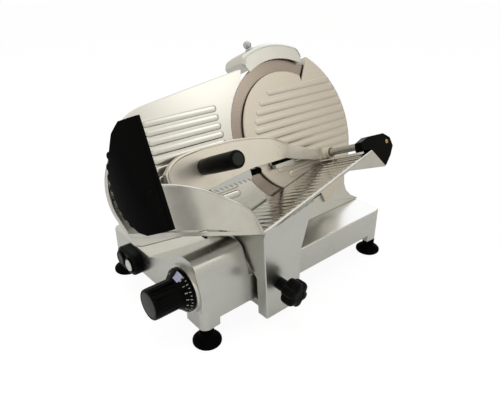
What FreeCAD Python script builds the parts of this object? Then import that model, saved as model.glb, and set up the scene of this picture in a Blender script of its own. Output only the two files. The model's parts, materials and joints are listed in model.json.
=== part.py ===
import FreeCAD, Part
import math
import os
import Sketcher
from FreeCAD import Placement, Rotation, Vector
from types import SimpleNamespace

# Gravity-feed food slicer with a 250 mm blade, in millimetres.
# +X runs from the operator's end to the far end, +Y to the slice side, +Z up.
# The origin lies on the bench, midway between the four feet.
# Blade coordinates u, v, w: u along X, v up the blade plane, w along the feed towards the product.

SIZES = {
    # blade plane
    "tilt": 25.0, "bladeX": 82.6, "bladeY": -9.4, "bladeZ": 232.4,
    # base casting
    "baseLength": 402.0, "baseDepth": 262.0, "baseTop": 88.0, "skirtBottom": 41.0,
    "pedestalBottom": 28.0, "pedestalLength": 30.0, "pedestalDepth": 42.0, "baseWall": 6.0,
    "baseCorner": 12.0, "baseEdgeRound": 3.0,
    # barrel over the dial's spindle
    "barrelLength": 87.5, "barrelTop": 135.0, "barrelCrownInset": 31.0, "crownHalf": 13.0,
    "barrelBackInset": 137.0, "barrelShoulderInset": 96.0, "barrelShoulderZ": 106.0,
    "barrelFoot": 60.0,
    "crownBackRound": 24.0, "crownFrontRound": 16.0, "barrelEndRound": 6.0,
    "bossRadius": 37.0, "bossHeight": 5.0,
    # openings and seats in the base
    "slideRodSeat": 16.0, "ribInset": 47.0, "ribBottom": 46.0, "slotGap": 1.0,
    "wellLength": 100.0, "wellDepth": 80.0, "wellY": 62.0,
    "bottomPlateThick": 2.0, "bottomPlateInset": 61.0,
    "glandRadius": 8.0, "glandX": 120.0, "glandZ": 62.0, "glandRim": 3.0, "glandTail": 14.0,
    # feet
    "footInsetX": 12.0, "footInsetY": 10.0, "footRadius": 21.5, "footRim": 7.0,
    "footStemRadius": 9.5, "footDome": 18.0,
    # switch
    "switchY": 58.0, "switchZ": 60.0, "switchWidth": 62.0, "switchHeight": 38.0,
    "switchDepth": 17.0, "switchBevel": 3.0, "buttonRadius": 10.0, "buttonSpacing": 27.0,
    "buttonProud": 3.5, "buttonLength": 10.0, "buttonGap": 0.3, "buttonPlay": 2.5,
    # gauge dial and cam
    "dialInset": 40.4, "dialZ": 83.8, "flangeRadius": 33.0, "flangeRim": 3.0, "coneLength": 11.0,
    "gripRadius": 22.5, "gripLength": 40.0, "dialGap": 0.6, "fluteRadius": 4.0,
    "fluteDepth": 1.0, "fluteCount": 16.0, "spindleRadius": 5.0, "spindleSeat": 30.0,
    "camThick": 6.0, "camInnerRadius": 10.0, "camInset": 80.0, "camSweep": 300.0,
    # gauge plate and its bracket
    "gaugeTravel": 15.0, "gaugeThick": 8.0, "gaugeGap": 2.5, "gaugeEdgeBevel": 1.2,
    "gaugeRightU": -77.0, "gaugeTopV": 118.5, "gaugeShoulderU": -292.0, "gaugeShoulderV": 87.0,
    "gaugeLeftU": -352.0, "gaugeBottomV": -93.0,
    "gaugeShoulderRound": 75.0, "gaugeLeftRound": 90.0, "gaugeFootRound": 16.0,
    "gaugeRibHeight": 1.2, "gaugeRibPitch": 13.6, "gaugeRibWidth": 5.0, "gaugeRibCount": 11.0,
    "gaugeRibLeftU": -262.0, "gaugeRibRightU": -144.0, "gaugeRibTopV": 68.5,
    "followerThick": 6.0, "followerGap": 0.55, "bracketWidth": 34.0,
    "bracketBackY": -11.0, "bracketLowV": -100.0, "bracketHighV": -30.0,
    "gaugeRodRadius": 8.0, "gaugeRodInset": 114.0, "gaugeRodZ": 60.0,
    # carriage
    "slideRodRadius": 9.0, "slideRodInset": 24.0, "slideRodZ": 52.0, "blockLength": 66.0,
    "blockDepth": 27.0, "blockTop": 70.0, "bushRadius": 11.5, "bushLength": 16.0,
    "runningGap": 0.06, "armInset": 95.0, "armWidth": 68.0, "armReach": 28.0, "armDepth": 21.0,
    "armBottom": 17.0, "armHeadDrop": 44.4, "armFlare": 21.0, "armFlareStart": 98.0,
    "armLean": 8.0, "armLeanHeight": 30.0, "armTopDepth": 72.0, "armBackBend": 82.0,
    "armBackReach": 49.0, "armWall": 9.0,
    "postThick": 12.0, "postInset": 12.0, "postTop": 112.0, "postGap": 0.2,
    # star knob
    "knobInset": 25.0, "knobZ": 72.0, "knobRadius": 21.0, "knobDepth": 22.0, "knobNeck": 18.0,
    "knobLobes": 6.0, "knobBevel": 1.5, "knobGap": 0.3, "studRadius": 5.0, "studThread": 6.0,
    # blade and its drive
    "bladeRadius": 125.0, "bladeDish": 3.3, "bladeRim": 25.0, "bladeThick": 2.5,
    "bevelWidth": 8.0, "bladeBoreRadius": 20.0, "hubRadius": 34.0, "hubThick": 4.0,
    "bladeScrewRadius": 4.5, "bladeScrewHead": 1.8,
    "shaftRadius": 10.0, "shaftBoreRadius": 4.2, "shaftBack": 78.0, "bearingRadius": 23.5,
    "bearingWidth": 14.0, "bearingFront": 14.0, "bearingSpan": 42.0, "bearingBossRadius": 31.0,
    "bossBack": 58.0, "pulleyRadius": 40.0, "pulleyWidth": 14.0, "pulleyFront": 62.0,
    "motorPulleyRadius": 12.0, "beltThick": 3.0, "beltWidth": 10.0, "beltGap": 0.3,
    "motorU": 40.0, "motorV": -72.0, "motorRadius": 42.0, "motorLength": 72.0,
    "motorFront": 86.0, "motorShaftRadius": 6.0,
    "mountThick": 4.0, "mountAngle": -61.0, "mountPostRadius": 4.5,
    # blade housing and drive housing
    "ringGap": 2.5, "ringWidth": 15.5, "ringFront": 0.8, "housingBack": 31.0,
    "housingWeb": 18.0, "webInset": 17.0, "housingLeftU": -50.0, "pedestalSetback": 1.0,
    "pedestalToe": 8.0, "pedestalWaist": 15.0,
    "driveWall": 4.0, "driveTopV": 58.0, "driveStep": 84.0, "driveBack": 166.0,
    "driveRightU": 112.0, "driveShelfV": -20.0, "driveShelfFall": 3.0, "driveRound": 14.0,
    "driveFootV": -190.0,
    "deflectorThick": 2.5, "deflectorFront": 9.0, "deflectorTopV": 60.0, "deflectorBottomV": 80.0,
    # blade cover
    "coverInset": 22.0, "coverThick": 2.7, "coverEdgeBevel": 1.2, "coverRibHeight": 1.0,
    "coverRibPitch": 14.2, "coverRibWidth": 5.5, "coverRibCount": 11.0, "coverRibInset": 26.0,
    "coverEdgeAngle": 56.5, "coverLowAngle": 77.0, "ribFieldAngle": 50.0,
    "tieRodRadius": 3.5, "tieRodBack": 96.0, "tieKnobRadius": 15.0, "tieKnobDepth": 18.0,
    "tieKnobFlutes": 8.0,
    # sharpener
    "hoodGap": 2.0, "hoodHeight": 25.0, "sharpenerFront": 6.0,
    "sharpenerBack": 44.0, "sharpenerWall": 3.0, "sharpenerHalfAngle": 28.0,
    "stoneRadius": 16.0, "stoneThick": 9.0, "stoneU": 26.0, "stoneRise": 5.0,
    "stoneFront": 9.0, "stoneButtonTravel": 3.0, "buttonStemRadius": 4.0, "pushHead": 6.0,
    "sharpenerKnobAngle": 106.0, "sharpenerKnobDepth": 8.0, "knobBallRadius": 5.5,
    "knobCollar": 6.5, "knobCollarHeight": 4.0, "knobHeight": 16.0,
    "hoodBracketHalf": 12.0, "hoodBracketThick": 5.0,
    # tray
    "trayInner": 6.0, "trayOuter": 110.0, "valleyU": -195.0, "valleyV": -117.0,
    "trayRightU": 59.4, "trayRise": 11.3, "trayLeftRise": 18.5, "trayThick": 5.0,
    "wallCentreU": -215.6, "wallCentreW": -10.0, "wallRadius": 121.5, "wallThick": 3.0,
    "wallRun": 128.0, "wallRise": 99.0,
    "trayRibPitch": 12.0, "trayRibWidth": 5.0, "trayRibHeight": 1.0, "trayRibCount": 20.0,
    "gussetThick": 4.0, "gussetLength": 66.0, "gussetDrop": 34.0, "gussetNose": 25.0,
    # hand guard
    "guardThick": 4.5, "guardTopV": 71.5, "guardBottomV": -76.0, "guardEdgeW": 75.0,
    "scallopRadius": 5.6, "rivetRadius": 2.6, "rivetHead": 1.6, "rivetAngle": 142.7,
    "rivetTopV": -25.0, "rivetSpacing": 25.0, "rivetSlant": 2.7,
    # pusher
    "pusherRodU": 50.0, "pusherRodV": -55.5, "pusherRodRadius": 6.0, "pusherRodFront": 8.0,
    "rodSeat": 10.0, "pusherPlateBack": 15.0, "pusherPlateThick": 10.0, "pusherLeftU": -268.0,
    "pusherTopV": 14.0, "pusherDepth": 66.0, "pusherRidgeU": -71.0, "pusherSlant": 7.0,
    "pusherSlantRun": 45.0,
    "hubOuterRadius": 10.5, "bushOuterRadius": 8.0, "hubBack": 9.0, "hubLength": 22.0,
    "teethThick": 3.0, "teethLeftU": -200.0, "teethRightU": -119.0, "teethLowV": -52.0,
    "teethDrop": 5.0, "teethCount": 9.0, "buffersV": -46.0, "sleeveRadius": 4.9,
    "sleeveLength": 22.0, "bufferBlockU": -67.0, "bufferBlockLength": 41.0,
    "bufferBlockHeight": 7.0, "bufferDepth": 9.0, "bufferHeight": 10.0,
    "handleU": -205.0, "handleV": -14.5, "handleRadius": 12.5, "handleEnd": 111.0,
    "handleBevel": 2.5, "handleBossRadius": 15.0, "handleBossHeight": 4.0,
    "endBlockThick": 15.0, "endBlockLength": 72.0, "endBlockHeight": 56.0,
    "endScrewRadius": 3.6, "endScrewDepth": 8.0, "endScrewInset": 16.0, "endScrewDrop": 6.0,
}

doc = FreeCAD.newDocument("GravitySlicer")
sheet = doc.addObject("Spreadsheet::Sheet", "Sizes")
for row, (alias, number) in enumerate(SIZES.items(), 1):
    sheet.set(f"A{row}", alias)
    sheet.set(f"B{row}", str(number))
    sheet.setAlias(f"B{row}", alias)
doc.recompute()


class Size:
    """A length or angle: its number, and the sheet formula that gives it."""

    def __init__(self, value, formula):
        self.value = value
        self.formula = formula

    def _join(self, sign, other, value):
        return Size(value, f"({self.formula} {sign} {formula_of(other)})")

    def __add__(self, other):
        return self._join("+", other, self.value + value_of(other))

    def __sub__(self, other):
        return self._join("-", other, self.value - value_of(other))

    def __mul__(self, other):
        return self._join("*", other, self.value * value_of(other))

    def __truediv__(self, other):
        return self._join("/", other, self.value / value_of(other))

    def __neg__(self):
        return Size(-self.value, f"(0 - {self.formula})")

    def __radd__(self, other):
        return self + other

    def __rsub__(self, other):
        return -self + other

    def __rmul__(self, other):
        return self * other


def value_of(size):
    return size.value if isinstance(size, Size) else float(size)


def formula_of(size):
    return size.formula if isinstance(size, Size) else f"({float(size):.9g})"


def sine(angle):
    return Size(math.sin(math.radians(angle.value)), f"sin({angle.formula} * 1deg)")


def cosine(angle):
    return Size(math.cos(math.radians(angle.value)), f"cos({angle.formula} * 1deg)")


def tangent(angle):
    return Size(math.tan(math.radians(angle.value)), f"tan({angle.formula} * 1deg)")


d = SimpleNamespace(**{alias: Size(number, f"Sizes.{alias}") for alias, number in SIZES.items()})
nodes = []


# ---------------------------------------------------------------- helpers

def bind(thing, **formulas):
    """Tie properties of an object to the sheet."""
    for name, size in formulas.items():
        thing.setExpression(name, formula_of(size))


def place(thing, x=0, y=0, z=0):
    """Put an object at a point that follows the sheet."""
    for axis, size in zip("xyz", (x, y, z)):
        thing.setExpression(f"Placement.Base.{axis}", formula_of(size))


def on_blade(thing):
    """Turn an object's own axes into the blade's u, v and w."""
    turn = 90 - d.tilt
    thing.Placement = Placement(Vector(), Rotation(Vector(1, 0, 0), turn.value))
    thing.setExpression("Placement.Rotation.Angle", turn.formula)
    place(thing, d.bladeX, d.bladeY, d.bladeZ)


def to_world(v, w):
    """World Y and Z of a point given up the blade plane and along the feed."""
    y = d.bladeY + v * sine(d.tilt) - w * cosine(d.tilt)
    z = d.bladeZ + v * cosine(d.tilt) + w * sine(d.tilt)
    return y, z


def body(name, blade=False):
    made = doc.addObject("PartDesign::Body", name)
    if blade:
        on_blade(made)
    return made


def node(thing, label):
    """Name an object that is a piece of its own."""
    thing.Label = label
    nodes.append(thing)
    return thing


def origin_of(owner, role):
    return next(f for f in owner.Origin.OriginFeatures if f.Role == role)


def sketch(owner, plane="XY_Plane", lift=0, turn=None, across=0, up=0):
    """A sketch on one of a body's own planes, lifted off it, moved along it and turned on it."""
    made = owner.newObject("Sketcher::SketchObject", "Sketch")
    made.AttachmentSupport = [(origin_of(owner, plane), "")]
    made.MapMode = "FlatFace"
    if turn is not None:
        made.AttachmentOffset = Placement(Vector(), Rotation(Vector(0, 0, 1), value_of(turn)))
        made.setExpression("AttachmentOffset.Rotation.Angle", formula_of(turn))
    for axis, size in zip("xyz", (across, up, lift)):
        made.setExpression(f"AttachmentOffset.Base.{axis}", formula_of(size))
    return made


def fix_point(drawing, item, point, at):
    """Hold one point of a sketch at sizes across and up from the sketch's origin."""
    for kind, size in zip(("DistanceX", "DistanceY"), at):
        number = drawing.addConstraint(
            Sketcher.Constraint(kind, -1, 1, item, point, value_of(size)))
        if isinstance(size, Size):
            drawing.setExpression(f"Constraints[{number}]", size.formula)


def polygon(drawing, corners):
    first = drawing.GeometryCount
    points = [Vector(value_of(a), value_of(b), 0) for a, b in corners]
    for start, end in zip(points, points[1:] + points[:1]):
        drawing.addGeometry(Part.LineSegment(start, end), False)
    for step, corner in enumerate(corners):
        before = first + (step - 1) % len(corners)
        drawing.addConstraint(Sketcher.Constraint("Coincident", before, 2, first + step, 1))
        fix_point(drawing, first + step, 1, corner)
    return drawing


def rectangle(drawing, left, bottom, right, top):
    return polygon(drawing, [(left, bottom), (right, bottom), (right, top), (left, top)])


def circle(drawing, radius, across=0, up=0):
    centre = Vector(value_of(across), value_of(up), 0)
    item = drawing.addGeometry(Part.Circle(centre, Vector(0, 0, 1), value_of(radius)), False)
    number = drawing.addConstraint(Sketcher.Constraint("Radius", item, value_of(radius)))
    drawing.setExpression(f"Constraints[{number}]", formula_of(radius))
    fix_point(drawing, item, 3, (across, up))
    return drawing


def settle(feature):
    """Rebuild, and stop at once where a feature fails."""
    doc.recompute()
    if {"Invalid", "Error"} & set(feature.State) or feature.Shape.isNull():
        raise ValueError(f"{feature.Name} failed to build")
    return feature


def pad(owner, drawing, length, back=False):
    feature = owner.newObject("PartDesign::Pad", "Pad")
    feature.Profile = drawing
    feature.Reversed = back
    bind(feature, Length=length)
    return settle(feature)


def pocket(owner, drawing, length, back=False):
    before = owner.Shape.Volume
    feature = owner.newObject("PartDesign::Pocket", "Pocket")
    feature.Profile = drawing
    feature.Reversed = back
    bind(feature, Length=length)
    settle(feature)
    if owner.Shape.Volume > before - 0.01:
        raise ValueError(f"a pocket of {owner.Name} cuts nothing")
    return feature


def revolve(owner, drawing, axis="V_Axis"):
    feature = owner.newObject("PartDesign::Revolution", "Revolution")
    feature.Profile = drawing
    feature.ReferenceAxis = (drawing, [axis])
    feature.Angle = 360
    return settle(feature)


def numbered(shape):
    return [(f"Edge{number}", edge) for number, edge in enumerate(shape.Edges, 1)]


def edges(shape, along=None, **centre):
    """Names of the edges that run along an axis and have the given middle."""
    names = []
    for name, edge in numbered(shape):
        straight = isinstance(edge.Curve, Part.Line)
        if along and not (straight and abs(getattr(edge.Curve.Direction, along)) > 0.999):
            continue
        middle = edge.CenterOfMass
        if all(abs(getattr(middle, axis) - value_of(at)) < 0.3 for axis, at in centre.items()):
            names.append(name)
    return names


def round_edges(owner, names, radius):
    before = owner.Tip
    feature = owner.newObject("PartDesign::Fillet", "Fillet")
    feature.Base = (before, names)
    bind(feature, Radius=radius)
    return settle(feature)


def bevel_edges(owner, names, size):
    before = owner.Tip
    feature = owner.newObject("PartDesign::Chamfer", "Chamfer")
    feature.Base = (before, names)
    bind(feature, Size=size)
    return settle(feature)


def polar(owner, feature, axis, count):
    pattern = owner.newObject("PartDesign::PolarPattern", "PolarPattern")
    pattern.Originals = [feature]
    pattern.Axis = axis
    pattern.Angle = 360
    pattern.Occurrences = int(round(value_of(count)))
    owner.Tip = pattern
    return settle(pattern)


def joined(name, *things):
    made = doc.addObject("Part::MultiFuse", name)
    made.Shapes = list(things)
    made.Refine = True
    return settle(made)


def shared(name, *things):
    made = doc.addObject("Part::MultiCommon", name)
    made.Shapes = list(things)
    made.Refine = True
    return settle(made)


def cut(name, base, tool):
    made = doc.addObject("Part::Cut", name)
    made.Base = base
    made.Tool = tool
    made.Refine = True
    return settle(made)


def rod(name, radius, length, blade=False, plane="XY_Plane", lift=0, across=0, up=0, bore=None,
        back=False):
    """A plain round piece: a pad of one circle, with a bore where one is given."""
    made = body(name, blade)
    drawing = circle(sketch(made, plane, lift), radius, across, up)
    if bore is not None:
        circle(drawing, bore, across, up)
    pad(made, drawing, length, back)
    return made


# ---------------------------------------------------------------- base

half_length = d.baseLength / 2
half_depth = d.baseDepth / 2
front_face = -half_depth
operator_face = -half_length
dial_y = front_face + d.dialInset
slide_rod_y = front_face + d.slideRodInset
rib_y = front_face + d.ribInset
gauge_rod_x = operator_face + d.gaugeRodInset
cam_x = operator_face + d.camInset
arm_left = operator_face + d.armInset
arm_right = arm_left + d.armWidth
arm_front = front_face - d.armReach
arm_back = arm_front + d.armDepth
knob_x = arm_left + d.knobInset


def base_housing():
    """Cast base: a low open-bottomed tray on four pedestals, with the raised barrel for the dial."""
    base = body("BaseHousing")
    block = rectangle(sketch(base, lift=d.pedestalBottom),
                      -half_length, -half_depth, half_length, half_depth)
    pad(base, block, d.baseTop - d.pedestalBottom)
    round_edges(base, edges(base.Tip.Shape, along="z"), d.baseCorner)
    top = [name for name, edge in numbered(base.Tip.Shape) if edge.BoundBox.ZMin > d.baseTop.value - 0.1]
    round_edges(base, top, d.baseEdgeRound)
    between_pedestals(base)
    barrel(base)
    boss = circle(sketch(base, "YZ_Plane", operator_face), d.bossRadius, dial_y, d.dialZ)
    pad(base, boss, d.bossHeight, back=True)
    cavity(base)
    rod_seats(base)
    base_openings(base)
    return node(base, "base_housing")


def between_pedestals(base):
    """Raise the skirt between the pedestals, along both directions."""
    skirt = d.skirtBottom - d.pedestalBottom
    inner_x = half_length - d.pedestalLength
    inner_y = half_depth - d.pedestalDepth
    for left, bottom, right, top in (
            (-inner_x, -half_depth - 1, inner_x, half_depth + 1),
            (-half_length - 1, -inner_y, half_length + 1, inner_y)):
        pocket(base, rectangle(sketch(base, lift=d.skirtBottom), left, bottom, right, top), skirt)


def barrel(base):
    """The raised rounded housing over the dial's spindle and cam."""
    crown = front_face + d.barrelCrownInset
    back = front_face + d.barrelBackInset
    profile = polygon(sketch(base, "YZ_Plane", operator_face), [
        (front_face, d.barrelFoot), (back, d.barrelFoot),
        (back, d.baseTop), (front_face + d.barrelShoulderInset, d.barrelShoulderZ),
        (crown + d.crownHalf, d.barrelTop), (crown - d.crownHalf, d.barrelTop),
        (front_face, d.baseTop)])
    pad(base, profile, d.barrelLength)
    middle = operator_face + d.barrelLength / 2
    round_edges(base, edges(base.Tip.Shape, "x", x=middle, y=crown + d.crownHalf), d.crownBackRound)
    round_edges(base, edges(base.Tip.Shape, "x", x=middle, y=crown - d.crownHalf), d.crownFrontRound)
    end = operator_face + d.barrelLength
    rim = [name for name, edge in numbered(base.Tip.Shape)
           if abs(edge.BoundBox.XMin - end.value) < 0.1 and abs(edge.BoundBox.XMax - end.value) < 0.1
           and edge.BoundBox.ZMin > d.baseTop.value - 0.1 and edge.BoundBox.ZMax > d.baseTop.value + 1]
    round_edges(base, rim, d.barrelEndRound)


def cavity(base):
    """Hollow the casting from below, leaving a post at each pedestal."""
    wall_x = half_length - d.baseWall
    wall_y = half_depth - d.baseWall
    post_x = half_length - d.pedestalLength
    post_y = half_depth - d.pedestalDepth
    depth = d.baseTop - d.baseWall - d.pedestalBottom
    hollow = polygon(sketch(base, lift=d.baseTop - d.baseWall), [
        (-post_x, -wall_y), (post_x, -wall_y), (post_x, -post_y), (wall_x, -post_y),
        (wall_x, post_y), (post_x, post_y), (post_x, wall_y), (-post_x, wall_y),
        (-post_x, post_y), (-wall_x, post_y), (-wall_x, -post_y), (-post_x, -post_y)])
    pocket(base, hollow, depth)
    crown = front_face + d.barrelCrownInset
    wall = d.baseWall
    back = front_face + d.barrelBackInset - 2 * wall
    inside = polygon(sketch(base, "YZ_Plane", operator_face + wall), [
        (front_face + wall + 2, d.barrelFoot), (back, d.barrelFoot),
        (back, d.baseTop - wall - 1),
        (front_face + d.barrelShoulderInset - wall, d.barrelShoulderZ - 2 * wall),
        (crown + d.crownHalf - wall, d.barrelTop - 2 * wall),
        (crown - d.crownHalf + wall, d.barrelTop - 2 * wall),
        (front_face + wall + 2, d.baseTop - 2)])
    pocket(base, inside, d.barrelLength - 2 * wall, back=True)


def rod_seats(base):
    """Blind bores in the posts for the carriage rod, and a rib for the gauge rod."""
    seat = half_length - d.slideRodSeat
    bores = circle(sketch(base, "YZ_Plane", -seat), d.slideRodRadius, slide_rod_y, d.slideRodZ)
    pocket(base, bores, 2 * seat, back=True)
    rib = rectangle(sketch(base, lift=d.ribBottom),
                    gauge_rod_x - d.bracketWidth / 2 + 1, rib_y,
                    gauge_rod_x + d.bracketWidth / 2 - 1, rib_y + d.baseWall)
    pad(base, rib, d.baseTop - d.ribBottom - 1)
    gauge_seat = circle(sketch(base, "XZ_Plane", -rib_y), d.gaugeRodRadius, gauge_rod_x, d.gaugeRodZ)
    pocket(base, gauge_seat, half_depth - rib_y - 2)


def base_openings(base):
    """Slots in the top for the gauge bracket and the motor, and the bore for the dial's spindle."""
    top = d.baseTop + 1
    depth = d.baseWall + 2
    gap = d.slotGap
    bracket_y = to_world(d.bracketLowV, -d.gaugeThick)[0]
    slot = rectangle(sketch(base, lift=top),
                     gauge_rod_x - d.bracketWidth / 2 - gap, bracket_y - gap,
                     gauge_rod_x + d.bracketWidth / 2 + gap, d.bracketBackY + d.gaugeTravel + gap)
    pocket(base, slot, depth)
    well_x = d.bladeX + d.motorU
    well = rectangle(sketch(base, lift=top),
                     well_x - d.wellLength / 2, d.wellY - d.wellDepth / 2,
                     well_x + d.wellLength / 2, d.wellY + d.wellDepth / 2)
    pocket(base, well, depth)
    bore = circle(sketch(base, "YZ_Plane", operator_face - d.bossHeight - 1),
                  d.spindleRadius + d.runningGap, dial_y, d.dialZ)
    pocket(base, bore, d.baseWall + d.bossHeight + 2, back=True)
    gland = circle(sketch(base, "XZ_Plane", -half_depth - 1), d.glandRadius, d.glandX, d.glandZ)
    pocket(base, gland, d.baseWall + 2, back=True)


def bottom_plate():
    """Sheet that closes the rear of the base from below, clear of the carriage."""
    plate = body("BottomPlate")
    reach = half_length - d.pedestalLength - d.slotGap
    drawing = rectangle(sketch(plate, lift=d.skirtBottom), -reach,
                        front_face + d.bottomPlateInset, reach, half_depth - d.baseWall)
    pad(plate, drawing, d.bottomPlateThick)
    return node(plate, "bottom_plate")


def foot(name, side_x, side_y):
    """Turned rubber foot with a flared tread and a stem up to the pedestal."""
    made = body(name)
    place(made, side_x * (half_length - d.footInsetX), side_y * (half_depth - d.footInsetY))
    profile = polygon(sketch(made, "XZ_Plane"), [
        (0, 0), (d.footRadius, 0), (d.footRadius, d.footRim),
        (d.footStemRadius, d.footDome), (d.footStemRadius, d.pedestalBottom),
        (0, d.pedestalBottom)])
    revolve(made, profile)
    return node(made, name)


def cable_gland():
    """Ribbed rubber gland in the rear wall where the supply lead would enter."""
    gland = body("CableGland")
    place(gland, d.glandX, half_depth, d.glandZ)
    shank = d.glandRadius
    outer = shank + d.glandRim
    profile = polygon(sketch(gland), [
        (0, -d.baseWall - d.glandRim), (outer, -d.baseWall - d.glandRim), (outer, -d.baseWall),
        (shank, -d.baseWall), (shank, 0), (outer, 0), (shank - 1, d.glandTail),
        (0, d.glandTail)])
    revolve(gland, profile)
    return node(gland, "cable_gland")


# ---------------------------------------------------------------- switch

def switch_housing():
    """Oval push-button housing on the operator's end, with a well for each button."""
    housing = body("SwitchHousing")
    place(housing, operator_face, d.switchY, d.switchZ)
    half = d.switchHeight / 2
    reach = d.switchWidth / 2
    block = rectangle(sketch(housing, "YZ_Plane"), -reach, -half, reach, half)
    pad(housing, block, d.switchDepth, back=True)
    round_edges(housing, edges(housing.Tip.Shape, "x"), half - 1)
    face = [name for name, edge in numbered(housing.Tip.Shape)
            if edge.BoundBox.XMax < 0.1 - d.switchDepth.value]
    bevel_edges(housing, face, d.switchBevel)
    wells = sketch(housing, "YZ_Plane", -d.switchDepth - 1)
    for side in (-1, 1):
        circle(wells, d.buttonRadius + d.buttonGap, side * d.buttonSpacing / 2, 0)
    pocket(housing, wells, d.buttonLength + 1 - d.buttonProud + d.buttonPlay, back=True)
    return node(housing, "switch_housing")


def switch_button(name, side):
    made = body(name)
    place(made, operator_face - d.switchDepth - d.buttonProud,
          d.switchY + side * d.buttonSpacing / 2, d.switchZ)
    profile = polygon(sketch(made), [
        (0, 0), (0, d.buttonRadius - 2), (1.5, d.buttonRadius),
        (d.buttonLength, d.buttonRadius), (d.buttonLength, 0)])
    revolve(made, profile, "H_Axis")
    return node(made, name)


# ---------------------------------------------------------------- gauge dial and its cam

dial_back = operator_face - d.bossHeight - d.dialGap


def gauge_dial():
    """Graduated flange, cone and fluted grip, turned about the X axis."""
    dial = body("GaugeDial")
    place(dial, dial_back, dial_y, d.dialZ)
    cone = d.flangeRim + d.coneLength
    end = cone + d.gripLength
    profile = polygon(sketch(dial), [
        (0, 0), (0, d.flangeRadius), (-d.flangeRim, d.flangeRadius),
        (-d.flangeRim - d.coneLength * 0.6, d.gripRadius + 4), (-cone, d.gripRadius),
        (-end + 2, d.gripRadius), (-end, d.gripRadius - 2), (-end, 0)])
    revolve(dial, profile, "H_Axis")
    flute = circle(sketch(dial, "YZ_Plane", -end - 1), d.fluteRadius, 0,
                   d.gripRadius + d.fluteRadius - d.fluteDepth)
    grooves = pocket(dial, flute, d.gripLength - 2, back=True)
    axis = origin_of(dial, "X_Axis")
    polar(dial, grooves, (axis, [""]), d.fluteCount)
    bore = circle(sketch(dial, "YZ_Plane", 1), d.spindleRadius)
    pocket(dial, bore, d.spindleSeat + 1)
    return node(dial, "gauge_dial")


def dial_spindle():
    start = dial_back - d.spindleSeat
    made = rod("DialSpindle", d.spindleRadius, cam_x - start, plane="YZ_Plane", lift=start,
               across=dial_y, up=d.dialZ)
    return node(made, "dial_spindle")


def cam_point(angle):
    """Point of the cam's edge: its radius grows evenly with the angle turned back from +Y."""
    radius = d.camInnerRadius.value + d.gaugeTravel.value * min(angle / d.camSweep.value, 1.0)
    turned = math.radians(-angle)
    return Vector(0, radius * math.cos(turned), radius * math.sin(turned))


def dial_cam():
    """Cam that opens the plate evenly as the dial turns, its edge made of short arcs."""
    run_out = 10
    stops = [d.camSweep.value * step / 6 for step in range(7)]
    arcs = [Part.Arc(cam_point(start), cam_point((start + end) / 2), cam_point(end)).toShape()
            for start, end in zip(stops, stops[1:])]
    top = stops[-1]
    arcs.append(Part.Arc(cam_point(top), cam_point(top + run_out / 2),
                         cam_point(top + run_out)).toShape())
    outline = Part.Wire(arcs + [Part.makeLine(cam_point(top + run_out), cam_point(0))])
    disc = Part.Face(outline).extrude(Vector(-d.camThick.value, 0, 0))
    hole = Part.makeCylinder(d.spindleRadius.value, 4 * d.camThick.value,
                             Vector(-2 * d.camThick.value, 0, 0), Vector(1, 0, 0))
    cam = doc.addObject("Part::Feature", "DialCam")
    cam.Shape = disc.cut(hole)
    place(cam, cam_x, dial_y, d.dialZ)
    return node(cam, "dial_cam")


# ---------------------------------------------------------------- carriage

block_left = arm_left + (d.armWidth - d.blockLength) / 2
block_back = slide_rod_y + d.blockDepth / 2
post_front = arm_front + d.armWall


def slide_rod():
    seat = half_length - d.slideRodSeat
    return node(rod("SlideRod", d.slideRodRadius, 2 * seat, plane="YZ_Plane", lift=-seat,
                    across=slide_rod_y, up=d.slideRodZ), "slide_rod")


def slide_block():
    """Block that rides the carriage rod, bored for its two bushes."""
    block = body("SlideBlock")
    drawing = rectangle(sketch(block, "YZ_Plane", block_left),
                        block_back - d.blockDepth, d.armBottom + d.postThick, block_back, d.blockTop)
    circle(drawing, d.bushRadius, slide_rod_y, d.slideRodZ)
    pad(block, drawing, d.blockLength)
    return node(block, "slide_block")


def slide_bush(name, start):
    made = rod(name, d.bushRadius, d.bushLength, plane="YZ_Plane", lift=start,
               across=slide_rod_y, up=d.slideRodZ, bore=d.slideRodRadius + d.runningGap)
    return node(made, name)


def carriage_post():
    """Bent bracket that passes under the skirt and stands up inside the arm."""
    post = body("CarriagePost")
    inset = d.postInset + d.postGap
    front = post_front + d.postGap
    drawing = polygon(sketch(post, "YZ_Plane", arm_left + inset), [
        (front, d.armBottom), (block_back, d.armBottom), (block_back, d.armBottom + d.postThick),
        (arm_back, d.armBottom + d.postThick), (arm_back, d.postTop), (front, d.postTop)])
    pad(post, drawing, d.armWidth - 2 * inset)
    stud = circle(sketch(post, "XZ_Plane", -arm_front), d.studRadius + d.runningGap,
                  knob_x, d.knobZ)
    pocket(post, stud, arm_back - arm_front + 1)
    return node(post, "carriage_post")


tray_drop = d.trayThick / cosine(d.trayRise)
left_drop = d.trayThick / cosine(d.trayLeftRise)


def floor_v(u):
    """Height of the tray's ribbed floor up the blade plane at a given u."""
    return d.valleyV + (u - d.valleyU) * tangent(d.trayRise)


def left_floor_v(u):
    return d.valleyV + (d.valleyU - u) * tangent(d.trayLeftRise)


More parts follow.
